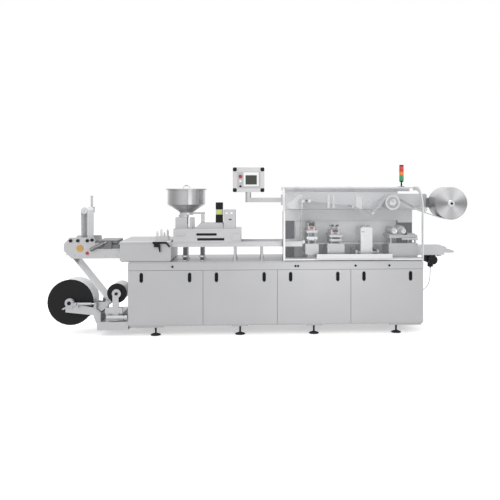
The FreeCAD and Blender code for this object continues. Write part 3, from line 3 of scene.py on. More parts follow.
import bpy
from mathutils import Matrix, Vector


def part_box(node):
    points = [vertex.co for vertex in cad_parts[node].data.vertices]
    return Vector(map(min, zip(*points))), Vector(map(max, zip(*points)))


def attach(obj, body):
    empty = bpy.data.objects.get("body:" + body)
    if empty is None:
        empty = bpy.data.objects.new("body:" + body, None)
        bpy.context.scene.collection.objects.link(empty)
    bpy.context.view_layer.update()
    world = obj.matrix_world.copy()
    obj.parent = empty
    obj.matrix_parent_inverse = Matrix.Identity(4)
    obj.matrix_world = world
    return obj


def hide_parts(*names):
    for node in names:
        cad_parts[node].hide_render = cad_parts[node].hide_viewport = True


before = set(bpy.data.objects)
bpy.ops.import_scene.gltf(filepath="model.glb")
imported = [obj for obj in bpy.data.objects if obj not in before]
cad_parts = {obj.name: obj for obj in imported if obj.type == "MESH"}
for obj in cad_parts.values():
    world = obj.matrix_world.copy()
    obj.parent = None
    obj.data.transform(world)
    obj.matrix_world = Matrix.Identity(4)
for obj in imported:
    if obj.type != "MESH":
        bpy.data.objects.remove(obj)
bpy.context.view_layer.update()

bl_info = {
    "name": "Blister packing machine",
    "version": (1, 0, 0),
    "blender": (4, 5, 0),
    "location": "3D View > Sidebar > Machine",
    "description": "Dresses the packed blister packing machine and sets it on a plain stage",
    "category": "Object",
}

# Lengths are in metres, apart from places handed to at(), which are in millimetres.

# Route of the motor cable: the points of the route in the part's source.
CABLE_ROUTE = (
    (1.824, -0.165, 0.671),
    (1.824, -0.165, 0.591),
    (1.8129, -0.165, 0.5118),
    (1.7779, -0.165, 0.4512),
    (1.739, -0.165, 0.4287),
    (1.716, -0.165, 0.4287),
)
CABLE_ORDER = 3
CABLE_ROUNDING = 4

# Finish of each kind: colour, metallic, roughness, coat, stretch of the grain, fineness, contrast
FINISHES = {
    "door_steel": ((0.47, 0.47, 0.48), 0.55, 0.40, 0.0, (0.03, 1.0, 1.0), 420.0, 0.08),
    "rail_steel": ((0.52, 0.52, 0.53), 0.60, 0.36, 0.0, (0.03, 1.0, 1.0), 380.0, 0.08),
    "feeder_steel": ((0.54, 0.54, 0.55), 0.60, 0.36, 0.0, (0.04, 1.0, 1.0), 380.0, 0.08),
    "machined_steel": ((0.46, 0.47, 0.48), 0.80, 0.30, 0.0, (1.0, 1.0, 0.08), 300.0, 0.18),
    "tool_steel": ((0.44, 0.44, 0.45), 0.60, 0.36, 0.0, (1.0, 1.0, 0.10), 260.0, 0.10),
    "heater_steel": ((0.19, 0.19, 0.20), 0.80, 0.32, 0.0, (1.0, 1.0, 0.10), 260.0, 0.12),
    "chrome": ((0.72, 0.73, 0.74), 1.0, 0.12, 0.0, (1.0, 0.1, 1.0), 260.0, 0.05),
    "aluminium": ((0.62, 0.62, 0.63), 0.65, 0.34, 0.0, (1.0, 0.05, 1.0), 340.0, 0.12),
    "housing_paint": ((0.58, 0.58, 0.60), 0.20, 0.42, 0.10, (1.0, 1.0, 1.0), 180.0, 0.04),
    "white_paint": ((0.86, 0.86, 0.86), 0.0, 0.42, 0.10, (1.0, 1.0, 1.0), 180.0, 0.03),
    "grey_paint": ((0.34, 0.34, 0.35), 0.0, 0.46, 0.10, (1.0, 1.0, 1.0), 200.0, 0.06),
    "guard_paint": ((0.66, 0.66, 0.67), 0.10, 0.40, 0.10, (1.0, 1.0, 1.0), 180.0, 0.03),
    "near_black": ((0.09, 0.09, 0.10), 0.0, 0.48, 0.0, (1.0, 1.0, 1.0), 220.0, 0.14),
    "black_plastic": ((0.012, 0.012, 0.013), 0.0, 0.44, 0.05, (1.0, 1.0, 1.0), 620.0, 0.25),
    "rubber": ((0.035, 0.035, 0.037), 0.0, 0.70, 0.0, (1.0, 1.0, 1.0), 520.0, 0.20),
    "cable_jacket": ((0.45, 0.45, 0.46), 0.0, 0.55, 0.0, (1.0, 1.0, 1.0), 700.0, 0.10),
    "wound_film": ((0.82, 0.83, 0.84), 0.0, 0.24, 0.20, (1.0, 0.04, 1.0), 520.0, 0.08),
    "film": ((0.82, 0.83, 0.84), 0.0, 0.18, 0.30, (0.05, 1.0, 1.0), 160.0, 0.04),
    "foil": ((0.62, 0.63, 0.64), 0.75, 0.26, 0.0, (0.05, 1.0, 1.0), 240.0, 0.08),
    "brass": ((0.55, 0.33, 0.10), 0.80, 0.32, 0.0, (1.0, 0.2, 1.0), 300.0, 0.25),
    "red_plastic": ((0.42, 0.02, 0.02), 0.0, 0.34, 0.20, (1.0, 1.0, 1.0), 400.0, 0.12),
    "screen": ((0.055, 0.06, 0.05), 0.0, 0.16, 0.40, (1.0, 1.0, 1.0), 90.0, 0.10),
    "window": ((0.52, 0.60, 0.14), 0.0, 0.20, 0.30, (1.0, 1.0, 1.0), 60.0, 0.10),
    "lens_red": ((0.62, 0.04, 0.03), 0.0, 0.22, 0.40, (1.0, 1.0, 0.2), 500.0, 0.10),
    "lens_orange": ((0.78, 0.22, 0.03), 0.0, 0.22, 0.40, (1.0, 1.0, 0.2), 500.0, 0.10),
    "lens_green": ((0.03, 0.30, 0.12), 0.0, 0.22, 0.40, (1.0, 1.0, 0.2), 500.0, 0.10),
}

NODE_FINISH = {
    "door_steel": ("base_frame", "cabinet", "front_panels", "forming_housing"),
    "rail_steel": ("reel_stand", "infeed_frame", "outfeed", "hmi_arm"),
    "feeder_steel": ("feeder_box", "hopper_base", "web_rails", "foil_beam", "feeder_controls"),
    "machined_steel": ("reel_fittings", "sealing_plate", "traction_bed"),
    "tool_steel": ("sealing_frame", "perforation_unit", "punch_unit"),
    "heater_steel": ("heater",),
    "chrome": ("guide_rollers", "foil_hub"),
    "aluminium": ("hmi_case", "traction_carriage", "foil_guides", "forming_fittings"),
    "housing_paint": ("upper_housing",),
    "guard_paint": ("guard_frame",),
    # Housing pillars: near-black, far darker than the housing round them
    "near_black": ("housing_pillars",),
    "black_plastic": (
        "forming_clamps", "finger_pulls", "infeed_knobs", "film_reel", "spare_reel", "outfeed_motor",
        "signal_tower",
    ),
    "rubber": ("levelling_feet",),
    "wound_film": ("film_roll", "spare_roll"),
    "film": ("film_web",),
    "foil": ("foil_web",),
}

# Grain that the finishes share; colours under DARK_COLOUR get the duller sheen
GRAIN_DETAIL = 4.0
MARK_SCALE = 3.2
BUMP_STRENGTH = 0.12
BUMP_DEPTH = 0.0004
DARK_COLOUR = 0.12
DARK_SHEEN = 0.15

# Clear guard: its surface is a finish without the colour
CLEAR_SURFACE = (0.0, 0.12, 0.0, (1.0, 1.0, 1.0), 60.0, 0.03)
CLEAR_SHEEN = 0.2
GUARD_ALPHA = 0.06

# Polished metal and the painted reflections on it: light and dark fans painted into its colour in place of
# reflections; its surface is a finish without the colour
POLISH_SURFACE = (0.75, 0.24, 0.0, (1.0, 1.0, 0.3), 300.0, 0.06)
REFLECTION_FANS = 2.0
# Hopper: painted reflection, light and dark bands round its upright axis in its colour
HOPPER_COLOUR = (0.50, 0.50, 0.51)
HOPPER_REFLECTION_CONTRAST = 0.32
# Foil disc: painted highlight, fans on its face that are darker to the left and right of its centre
DISC_COLOUR = (0.46, 0.46, 0.47)
DISC_HIGHLIGHT_CONTRAST = -0.24
ALONG_X = (1.0, 0.0, 0.0)
ALONG_Y = (0.0, 1.0, 0.0)
ALONG_Z = (0.0, 0.0, 1.0)

# Edges of new pieces; FACING and SIDEWAYS are limits on one component of a face's normal
BEVEL_STEPS = 2
BEVEL_ANGLE = math.radians(40)
SMOOTH_ANGLE = math.radians(35)
FACING = 0.9
SIDEWAYS = 0.1

# Buttons and sleeves: flats, then shares of the radius, or of the depth for the dish
BUTTON_FLATS = 32
BUTTON_RIM = 0.3
BUTTON_DISH = 0.18
BUTTON_BEVEL = 0.08
SLEEVE_FLATS = 40
SLEEVE_RIB = 0.03
SLEEVE_BEVEL = 0.04

# Plates: bevel, rim, and how far the face inside the rim stands out
COLUMN_EDGE = (0.003, 0.006, -0.001)
WINDOW_EDGE = (0.002, 0.005, 0.001)
SLOT_EDGE = (0.002, 0.003, -0.001)
BOX_SLOT_EDGE = (0.001, 0.002, -0.0005)
STATION_EDGE = (0.001, 0.0015, -0.0005)
BAY_EDGE = (0.0006, 0.001, -0.0003)

# Operator panel: corner caps, then what lies on the face, from the case's lower left corner
CASE_HEIGHT = 0.273
CORNER_SIZE = 0.044
CORNER_PROUD = 0.008
CORNER_DEPTH = 0.06
CORNER_ROUND = 0.012
FACE_SUNK = 0.002
FACE_BEVEL = 0.0006
FACE_STEP = -0.0005
# Name, left, right, bottom, top, how far it stands proud, finish and rim
PANEL_FACES = (
    ("inner_panel", 0.050, 0.303, 0.045, 0.224, 0.0015, "door_steel", 0.004),
    ("screen_bezel", 0.118, 0.286, 0.064, 0.218, 0.0040, "white_paint", 0.012),
    ("screen", 0.140, 0.264, 0.084, 0.186, 0.0055, "screen", 0.004),
)
PANEL_BUTTON_ALONG = 0.084
PANEL_BUTTON_DEPTH = 0.010
# Name, height, radius and finish
PANEL_BUTTONS = (
    ("stop_button", 0.172, 0.020, "red_plastic"),
    ("start_button", 0.122, 0.013, "white_paint"),
    ("reset_button", 0.064, 0.012, "black_plastic"),
)

# Sensor column: bottoms and tops are measured down from its top, left and right from its left side
COLUMN_FRONT = 170
COLUMN_LAP = 0.001
COLUMN_WIDTH = 0.075
COLUMN_PROUD = 0.006
COLUMN_DEPTH = 0.05
COLUMN_FACES = (("column_top", 0.073, 0.0), ("column_foot", 0.213, 0.129))
WINDOW_SIDES = (0.009, 0.065, 0.127, 0.075)
WINDOW_PROUD = 0.003
WINDOW_SUNK = 0.004

# Feeder box: its level top, and the liners at the back of its slots
FEEDER_TOP = 1104
SLOT_RECESS = 0.020
# Name, left and right from the box's left end, bottom and top below its top, and thickness
SLOT_LINERS = (
    ("feeder_slot", 0.239, 0.451, 0.0705, 0.0455, 0.005),
    ("feeder_window", 0.249, 0.529, 0.1215, 0.0965, 0.007),
)

# Small control box: places are measured left from its right side and up from the feeder's top
BOX_FRONT = 120
BOX_BUTTONS = (0.092, 0.040)
BOX_BUTTON_UP = 0.162
BOX_BUTTON_PROUD = 0.003
BOX_BUTTON_SIZE = (0.013, 0.012)
BOX_SLOT_SIDES = (0.072, 0.042, 0.088, 0.100)
BOX_SLOT_PROUD = 0.002

# Dark sleeves on the channel's two front posts that have thumb wheels
POSTS_ALONG = (-968, -788)
POST_BACK = 96
POST_UP = 844
POST_RADIUS = 0.017
POST_HEIGHT = 0.132

# In-feed side plate: from its left end and from the film line
FILM_LINE = 940
# Name, along, up, how far its middle stands proud, radius, depth and finish
INFEED_KNOBS = (
    ("brass_dial", 0.165, -0.034, 0.004, 0.034, 0.012, "brass"),
    ("red_knob", 0.240, -0.085, 0.006, 0.016, 0.016, "red_plastic"),
)
INFEED_BOLTS = ((0.030, -0.100), (0.110, -0.110), (0.250, -0.110), (0.420, -0.115), (0.560, -0.060))
BOLT_PROUD = 0.002
BOLT_SIZE = (0.007, 0.006)
BOLT_FLATS = 6

# Signal tower, from its top: cap, then each lens's name, height and finish
TOWER_CAP = 0.013
LENS_RADIUS = 0.0255
LENS_GAP = 0.003
TOWER_LENSES = (
    ("red_lens", 0.061, "lens_red"),
    ("orange_lens", 0.049, "lens_orange"),
    ("green_lens", 0.058, "lens_green"),
)

# Caps on the stations: places along, (back from the front, down from the top), (radius, depth)
CAP_FLATS = 24
STATION_CAPS = (-0.026, 0.026)
STATION_CAP_PLACE = (0.10, 0.002)
STATION_CAP_SIZE = (0.014, 0.018)
CLAMP_CAPS = (0.038, 0.087)
CLAMP_CAP_PLACE = (0.060, 0.004)
CLAMP_CAP_SIZE = (0.013, 0.014)
PUNCH_CAPS = (0.055, 0.150)
PUNCH_CAP_PLACE = (0.002, 0.05)
PUNCH_CAP_SIZE = (0.026, 0.010)

# Valves and marks on the stations: name, low corner, high corner, finish, body and node
STATION_PLATES = (
    ("seal_valve", (340, 118, 1126), (401, 130, 1158), "black_plastic", "machine", "sealing_frame"),
    ("seal_mark", (352, 123, 1096), (389, 130, 1118), "red_plastic", "machine", "sealing_frame"),
    (
        "perforation_valve", (596, 118, 1063), (653, 130, 1083), "black_plastic", "machine",
        "perforation_unit",
    ),
    ("perforation_mark", (606, 123, 1043), (643, 130, 1057), "red_plastic", "machine", "perforation_unit"),
    ("gripper_mark", (894, 87, 1062), (932, 91, 1069), "red_plastic", "gripper", "traction_carriage"),
    ("punch_valve", (1345, 78, 1034), (1385, 90, 1062), "black_plastic", "machine", "punch_unit"),
)

# Guard's edges, back wall and side stop: name, low corner, high corner, finish, body and node
BAY_PLATES = (
    ("guard_skirt", (84, -2, 776), (1530, 0, 789), "white_paint", "guard", "guard_frame"),
    ("guard_rib_face", (63, -2, 776), (81, 0, 1290), "white_paint", "guard", "guard_frame"),
    # Dark strip along the guard's left edge
    ("guard_edge_dark_strip", (56, 1, 776), (60.5, 40, 1290), "black_plastic", "guard", "guard_frame"),
    ("guard_foot_seal", (84, 2, 769), (1530, 12, 775.5), "black_plastic", "guard", "guard_frame"),
    ("bay_wall", (207, 427, 768), (1353, 431, 1167), "white_paint", "machine", "upper_housing"),
    ("side_stop", (1539, 58, 604), (1552, 82, 628), "red_plastic", "machine", "cabinet"),
)

# Rings on the foil wheel and reel: name, middle, radius, depth, finish, body and node
WHEEL_RINGS = (
    ("wheel_ring", (1237, 96, 1376), 0.062, 0.006, "grey_paint", "machine", "foil_guides"),
    ("wheel_cap", (1237, 89, 1376), 0.034, 0.008, "chrome", "machine", "foil_guides"),
    ("hub_eye", (1875, 93, 1364), 0.014, 0.004, "black_plastic", "foil_reel_body", "foil_hub"),
)

# Stage: the floor's surface is a finish without the colour
WHITE = (1.0, 1.0, 1.0, 1.0)
FLOOR_SIZE = 60.0
FLOOR_PLACE = (0.0, 10.0, 0.0)
FLOOR_SURFACE = (0.0, 0.6, 0.0, (1.0, 1.0, 1.0), 4.0, 0.01)
FLOOR_GLOW = 0.45
WORLD_LIGHT = 0.55
WORLD_SEEN_MORE = 0.45
# Name, place, target, width and power
LAMPS = (
    ("key_lamp", (-4.5, -6.0, 6.0), (0.0, 0.0, 0.8), 5.0, 250.0),
    ("fill_lamp", (5.5, -5.5, 4.0), (0.0, 0.0, 0.8), 5.0, 110.0),
    ("top_lamp", (0.0, 0.5, 7.0), (0.0, 0.0, 0.5), 6.0, 150.0),
    ("bay_lamp", (0.95, -3.2, 0.9), (0.95, 0.1, 1.0), 1.2, 8.0),
)

MILLIMETRES = 1000
CABINET_LOW, CABINET_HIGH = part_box("cabinet")
CENTRE_X = (CABINET_LOW.x + CABINET_HIGH.x) / 2
FRONT_Y = CABINET_LOW.y


class MachineSizes(bpy.types.PropertyGroup):
    """Sizes that a user would change."""

    cable_diameter: bpy.props.FloatProperty(
        name="Cable diameter", description="Diameter of the motor cable", default=0.008, unit="LENGTH"
    )
    lens: bpy.props.FloatProperty(name="Lens", description="Focal length of the camera", default=44.5)
    camera_place: bpy.props.FloatVectorProperty(
        name="Camera place", description="Where the camera stands", default=(-0.124, -6.76, 1.552),
        subtype="TRANSLATION",
    )
    camera_turn: bpy.props.FloatProperty(
        name="Camera turn", description="How far the camera turns to the right", default=0.0511,
        subtype="ANGLE",
    )
    camera_shift: bpy.props.FloatVectorProperty(
        name="Camera shift", description="Shift of the camera's view", default=(-0.063, -0.128), size=2
    )


class MachineColours(bpy.types.PropertyGroup):
    """Colours that a user would change."""

    floor: bpy.props.FloatVectorProperty(
        name="Floor", description="Colour of the floor", default=(0.93, 0.93, 0.93), subtype="COLOR"
    )
    guard: bpy.props.FloatVectorProperty(
        name="Guard", description="Tint of the clear guard", default=(0.80, 0.82, 0.84), subtype="COLOR"
    )


def new_group(name, inputs, outputs):
    """Empty shader group with its named sockets."""
    kinds = {"C": "NodeSocketColor", "V": "NodeSocketVector", "F": "NodeSocketFloat"}
    tree = bpy.data.node_groups.new(name, "ShaderNodeTree")
    for title, kind in inputs:
        tree.interface.new_socket(title, in_out="INPUT", socket_type=kinds[kind])
    for title, kind in outputs:
        tree.interface.new_socket(title, in_out="OUTPUT", socket_type=kinds[kind])
    return tree


def maths(tree, operation, first, second):
    """Maths node fed by sockets or numbers."""
    node = tree.nodes.new("ShaderNodeMath")
    node.operation = operation
    for socket, value in zip(node.inputs, (first, second)):
        if isinstance(value, (int, float)):
            socket.default_value = value
        else:
            tree.links.new(value, socket)
    return node.outputs[0]


def vector_maths(tree, operation, first, second, output=0):
    """Vector maths node fed by sockets."""
    node = tree.nodes.new("ShaderNodeVectorMath")
    node.operation = operation
    tree.links.new(first, node.inputs[0])
    tree.links.new(second, node.inputs["Scale"] if operation == "SCALE" else node.inputs[1])
    return node.outputs[output]


def grain_group():
    """Grain and handling marks that change colour, roughness and height over a surface."""
    if "surface_grain" in bpy.data.node_groups:
        return bpy.data.node_groups["surface_grain"]
    inputs = (("Colour", "C"), ("Stretch", "V"), ("Fineness", "F"), ("Contrast", "F"), ("Roughness", "F"))
    tree = new_group("surface_grain", inputs, (("Colour", "C"), ("Roughness", "F"), ("Height", "F")))
    inside = tree.nodes.new("NodeGroupInput").outputs
    outside = tree.nodes.new("NodeGroupOutput").inputs
    place = tree.nodes.new("ShaderNodeTexCoord").outputs["Object"]
    fine = tree.nodes.new("ShaderNodeTexNoise")
    fine.inputs["Detail"].default_value = GRAIN_DETAIL
    tree.links.new(vector_maths(tree, "MULTIPLY", place, inside["Stretch"]), fine.inputs["Vector"])
    tree.links.new(inside["Fineness"], fine.inputs["Scale"])
    broad = tree.nodes.new("ShaderNodeTexNoise")
    broad.inputs["Scale"].default_value = MARK_SCALE
    tree.links.new(place, broad.inputs["Vector"])
    both = maths(tree, "ADD", fine.outputs["Fac"], broad.outputs["Fac"])
    amount = maths(tree, "MULTIPLY", maths(tree, "SUBTRACT", both, 1.0), inside["Contrast"])
    shade = maths(tree, "ADD", amount, 1.0)
    tree.links.new(vector_maths(tree, "SCALE", inside["Colour"], shade), outside["Colour"])
    tree.links.new(maths(tree, "ADD", inside["Roughness"], amount), outside["Roughness"])
    tree.links.new(fine.outputs["Fac"], outside["Height"])
    return tree


def painted_reflection_group():
    """Painted reflection: light and dark fans round a centre, painted into the colour in place of the
    reflections on turned and polished metal.
    """
    if "painted_reflection_fans" in bpy.data.node_groups:
        return bpy.data.node_groups["painted_reflection_fans"]
    inputs = (
        ("Colour", "C"), ("Centre", "V"), ("Across", "V"), ("Up", "V"), ("Fans", "F"), ("Contrast", "F"),
    )
    tree = new_group("painted_reflection_fans", inputs, (("Colour", "C"),))
    inside = tree.nodes.new("NodeGroupInput").outputs
    outside = tree.nodes.new("NodeGroupOutput").inputs
    place = tree.nodes.new("ShaderNodeTexCoord").outputs["Object"]
    offset = vector_maths(tree, "SUBTRACT", place, inside["Centre"])
    across = vector_maths(tree, "DOT_PRODUCT", offset, inside["Across"], "Value")
    up = vector_maths(tree, "DOT_PRODUCT", offset, inside["Up"], "Value")
    angle = maths(tree, "MULTIPLY", maths(tree, "ARCTAN2", up, across), inside["Fans"])
    slow = maths(tree, "COSINE", angle, 0.0)
    quick = maths(tree, "COSINE", maths(tree, "MULTIPLY", angle, 2.0), 0.0)
    wave = maths(tree, "ADD", slow, quick)
    # The fans lighten and darken the colour as a painted reflection
    shade = maths(tree, "ADD", maths(tree, "MULTIPLY", wave, inside["Contrast"]), 1.0)
    tree.links.new(vector_maths(tree, "SCALE", inside["Colour"], shade), outside["Colour"])
    return tree


def finish_material(name, values=None):
    """Material of one finish, with its own values in the shared grain."""
    if name in bpy.data.materials:
        return bpy.data.materials[name]
    colour, metallic, roughness, coat, stretch, fineness, contrast = values or FINISHES[name]
    material = bpy.data.materials.new(name)
    material.use_nodes = True
    tree = material.node_tree
    shader = tree.nodes["Principled BSDF"]
    shader.inputs["Metallic"].default_value = metallic
    shader.inputs["Coat Weight"].default_value = coat
    if max(colour) < DARK_COLOUR:
        shader.inputs["Specular IOR Level"].default_value = DARK_SHEEN
    grain = tree.nodes.new("ShaderNodeGroup")
    grain.name = "grain"
    grain.node_tree = grain_group()
    grain.inputs["Colour"].default_value = (*colour, 1.0)
    grain.inputs["Stretch"].default_value = stretch
    grain.inputs["Fineness"].default_value = fineness
    grain.inputs["Contrast"].default_value = contrast
    grain.inputs["Roughness"].default_value = roughness
    bump = tree.nodes.new("ShaderNodeBump")
    bump.inputs["Strength"].default_value = BUMP_STRENGTH
    bump.inputs["Distance"].default_value = BUMP_DEPTH
    tree.links.new(grain.outputs["Colour"], shader.inputs["Base Color"])
    tree.links.new(grain.outputs["Roughness"], shader.inputs["Roughness"])
    tree.links.new(grain.outputs["Height"], bump.inputs["Height"])
    tree.links.new(bump.outputs["Normal"], shader.inputs["Normal"])
    return material


def painted_reflection_material(name, colour, centre, up, contrast):
    """Polished metal with painted reflection fans in its colour, round an upright or a level axis."""
    material = finish_material(name, (colour, *POLISH_SURFACE))
    tree = material.node_tree
    # Painted reflection fans set into the colour that the grain takes
    reflection_node = tree.nodes.new("ShaderNodeGroup")
    reflection_node.node_tree = painted_reflection_group()
    reflection_node.inputs["Colour"].default_value = (*colour, 1.0)
    reflection_node.inputs["Centre"].default_value = centre
    reflection_node.inputs["Across"].default_value = ALONG_X
    reflection_node.inputs["Up"].default_value = up
    reflection_node.inputs["Fans"].default_value = REFLECTION_FANS
    reflection_node.inputs["Contrast"].default_value = contrast
    tree.links.new(reflection_node.outputs["Colour"], tree.nodes["grain"].inputs["Colour"])
    return material


def clear_material(name, colour, alpha):
    """Clear sheet that shows what is behind it."""
    material = finish_material(name, (tuple(colour), *CLEAR_SURFACE))
    shader = material.node_tree.nodes["Principled BSDF"]
    shader.inputs["Alpha"].default_value = alpha
    shader.inputs["Specular IOR Level"].default_value = CLEAR_SHEEN
    return material


def put_finish(thing, material):
    """Give every slot of an object one material."""
    if not thing.material_slots:
        thing.data.materials.append(material)
    for slot in thing.material_slots:
        slot.material = material


def at(x, y, z):
    """Point given in millimetres from the middle of the cabinet's front, in the frame's metres."""
    return Vector((CENTRE_X + x / MILLIMETRES, FRONT_Y + y / MILLIMETRES, z / MILLIMETRES))


def middle(node):
    """Middle of a CAD node's box."""
    low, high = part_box(node)
    return (low + high) / 2


def pick_faces(thing, test):
    """Enter edit mode with the faces that the test picks."""
    bpy.ops.object.mode_set(mode="EDIT")
    bpy.ops.mesh.select_mode(type="FACE")
    bpy.ops.mesh.select_all(action="DESELECT")
    bpy.ops.object.mode_set(mode="OBJECT")
    for face in thing.data.polygons:
        face.select = test(face)
    bpy.ops.object.mode_set(mode="EDIT")


def settle(thing, name, finish, body, bevel):
    """Round the edges of a new piece, put its place in its mesh, and give it to its body."""
    thing.name = name
    bpy.ops.object.transform_apply(location=True, rotation=True, scale=True)
    edge = thing.modifiers.new("edges", "BEVEL")
    edge.width = bevel
    edge.segments = BEVEL_STEPS
    edge.angle_limit = BEVEL_ANGLE
    bpy.ops.object.modifier_apply(modifier=edge.name)
    bpy.ops.object.shade_smooth_by_angle(angle=SMOOTH_ANGLE)
    put_finish(thing, finish_material(finish))
    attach(thing, body)


def plate(name, low, high, finish, body, slot, bevel, rim=0.0, step=0.0):
    """Rounded plate between two corners, its front face set in or out by a step inside a rim."""
    bpy.ops.object.select_all(action="DESELECT")
    bpy.ops.mesh.primitive_cube_add(size=1.0, location=(low + high) / 2)
    thing = bpy.context.object
    thing.scale = high - low
    bpy.ops.object.transform_apply(location=True, rotation=True, scale=True)
    if rim:
        pick_faces(thing, lambda face: face.normal.y < -FACING)
        bpy.ops.mesh.inset(thickness=rim)
        bpy.ops.transform.translate(value=(0.0, -step, 0.0))
        bpy.ops.object.mode_set(mode="OBJECT")
    settle(thing, name, finish, body, bevel)


def button(name, centre, radius, depth, finish, body, slot, axis="y", flats=BUTTON_FLATS):
    """Turned button or cap with a set-in rim, facing the operator or upwards."""
    bpy.ops.object.select_all(action="DESELECT")
    turn = (math.pi / 2, 0.0, 0.0) if axis == "y" else (0.0, 0.0, 0.0)
    bpy.ops.mesh.primitive_cylinder_add(
        vertices=flats, radius=radius, depth=depth, location=centre, rotation=turn
    )
    thing = bpy.context.object
    bpy.ops.object.transform_apply(location=True, rotation=True, scale=True)
    facing = Vector((0, -1, 0)) if axis == "y" else Vector((0, 0, 1))
    pick_faces(thing, lambda face: face.normal.dot(facing) > FACING)
    bpy.ops.mesh.inset(thickness=radius * BUTTON_RIM)
    bpy.ops.transform.translate(value=facing * (-BUTTON_DISH * depth))
    bpy.ops.object.mode_set(mode="OBJECT")
    settle(thing, name, finish, body, radius * BUTTON_BEVEL)


def sleeve(name, centre, radius, height, finish, body):
    """Ribbed upright sleeve, as on a lamp lens."""
    bpy.ops.object.select_all(action="DESELECT")
    bpy.ops.mesh.primitive_cylinder_add(
        vertices=SLEEVE_FLATS, radius=radius, depth=height, location=centre
    )
    thing = bpy.context.object
    bpy.ops.object.transform_apply(location=True, rotation=True, scale=True)
    pick_faces(thing, lambda face: abs(face.normal.z) < SIDEWAYS and face.index % 2 == 0)
    bpy.ops.mesh.inset(thickness=radius * SLEEVE_RIB, use_individual=True)
    bpy.ops.object.mode_set(mode="OBJECT")
    settle(thing, name, finish, body, radius * SLEEVE_BEVEL)


def cap_row(name, node, body, places, back_and_down, size, finish, axis, flats):
    """Row of caps along a station, measured back from its front and down from its top."""
    low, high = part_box(node)
    back, down = back_and_down
    for number, x in enumerate(places):
        place = Vector((x, low.y + back, high.z - down))
        button("%s_%d" % (name, number), place, *size, finish, body, node, axis, flats)


def aim(thing, target):
    """Turn a lamp towards a point."""
    thing.rotation_euler = (Vector(target) - thing.location).to_track_quat("-Z", "Y").to_euler()


def area_lamp(name, place, target, width, power):
    """Soft square lamp."""
    data = bpy.data.lights.new(name, "AREA")
    data.size = width
    data.energy = power
    lamp = bpy.data.objects.new(name, data)
    bpy.context.scene.collection.objects.link(lamp)
    lamp.location = place
    aim(lamp, target)


class MACHINE_OT_camera(bpy.types.Operator):
    """Set the camera at the photograph's viewing angle"""

    bl_idname = "machine.camera"
    bl_label = "Camera"

    def execute(self, context):
        """Make the camera."""
        sizes = context.scene.machine_sizes
        data = bpy.data.cameras.new("view_camera")
        camera = bpy.data.objects.new("view_camera", data)
        context.scene.collection.objects.link(camera)
        camera.location = sizes.camera_place
        camera.rotation_euler = (math.pi / 2, 0.0, -sizes.camera_turn)
        data.lens = sizes.lens
        data.shift_x, data.shift_y = sizes.camera_shift
        context.scene.camera = camera
        return {"FINISHED"}


class MACHINE_OT_cable(bpy.types.Operator):
    """Run the motor cable from the gear motor into the cabinet's end"""

    bl_idname = "machine.cable"
    bl_label = "Motor cable"

    def execute(self, context):
        """Make the cable on its smooth line."""
        sizes = context.scene.machine_sizes
        curve = bpy.data.curves.new("motor_cable", "CURVE")
        curve.dimensions = "3D"
        line = curve.splines.new("NURBS")
        line.points.add(len(CABLE_ROUTE) - 1)
        for point, place in zip(line.points, CABLE_ROUTE):
            point.co = (*place, 1.0)
        line.order_u = CABLE_ORDER
        line.use_endpoint_u = True
        curve.bevel_depth = sizes.cable_diameter / 2
        curve.bevel_resolution = CABLE_ROUNDING
        curve.use_fill_caps = True
        cable = bpy.data.objects.new("motor_cable", curve)
        context.scene.collection.objects.link(cable)
        put_finish(cable, finish_material("cable_jacket"))
        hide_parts("outfeed_cable")
        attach(cable, "machine")
        return {"FINISHED"}


class MACHINE_OT_finishes(bpy.types.Operator):
    """Give every part of the machine its finish"""

    bl_idname = "machine.finishes"
    bl_label = "Finishes"

    def execute(self, context):
        """Put each finish on its nodes."""
        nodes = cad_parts
        for finish, names in NODE_FINISH.items():
            for name in names:
                put_finish(nodes[name], finish_material(finish))
        tint = context.scene.machine_colours.guard
        put_finish(nodes["guard_sheet"], clear_material("clear_guard", tint, GUARD_ALPHA))
        # Hopper and its lid: painted reflection bands in their colour
        hopper_reflection = painted_reflection_material("hopper_painted_reflection", HOPPER_COLOUR, middle("hopper"), ALONG_Y, HOPPER_REFLECTION_CONTRAST)
        put_finish(nodes["hopper"], hopper_reflection)
        put_finish(nodes["hopper_lid"], hopper_reflection)
        # Foil disc: painted highlight fans across its face, in its colour
        disc_highlight = painted_reflection_material("foil_disc_painted_highlight", DISC_COLOUR, middle("foil_roll"), ALONG_Z, DISC_HIGHLIGHT_CONTRAST)
        put_finish(nodes["foil_roll"], disc_highlight)
        return {"FINISHED"}


class MACHINE_OT_operator_panel(bpy.types.Operator):
    """Add the corner caps, bezel, screen and buttons of the operator panel"""

    bl_idname = "machine.operator_panel"
    bl_label = "Operator panel"

    def execute(self, context):
        """Make the pieces on the panel's face."""
        low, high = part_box("hmi_case")
        front = low.y
        case_low = high.z - CASE_HEIGHT
        body, slot = "operator_panel", "hmi_case"
        corners = ((low.x, case_low), (high.x, case_low), (low.x, high.z), (high.x, high.z))
        for number, (x, z) in enumerate(corners):
            inner_x = x + CORNER_SIZE if x == low.x else x - CORNER_SIZE
            inner_z = z + CORNER_SIZE if z == case_low else z - CORNER_SIZE
            cap_low = Vector((min(x, inner_x), front - CORNER_PROUD, min(z, inner_z)))
            cap_high = Vector((max(x, inner_x), front + CORNER_DEPTH, max(z, inner_z)))
            plate("corner_cap_%d" % number, cap_low, cap_high, "black_plastic", body, slot, CORNER_ROUND)
        for name, left, right, bottom, top, proud, finish, rim in PANEL_FACES:
            face_low = Vector((low.x + left, front - proud, case_low + bottom))
            face_high = Vector((low.x + right, front + FACE_SUNK, case_low + top))
            plate(name, face_low, face_high, finish, body, slot, FACE_BEVEL, rim, FACE_STEP)
        for name, up, radius, finish in PANEL_BUTTONS:
            place = Vector((low.x + PANEL_BUTTON_ALONG, front - PANEL_BUTTON_DEPTH / 2, case_low + up))
            button(name, place, radius, PANEL_BUTTON_DEPTH, finish, body, slot)
        return {"FINISHED"}


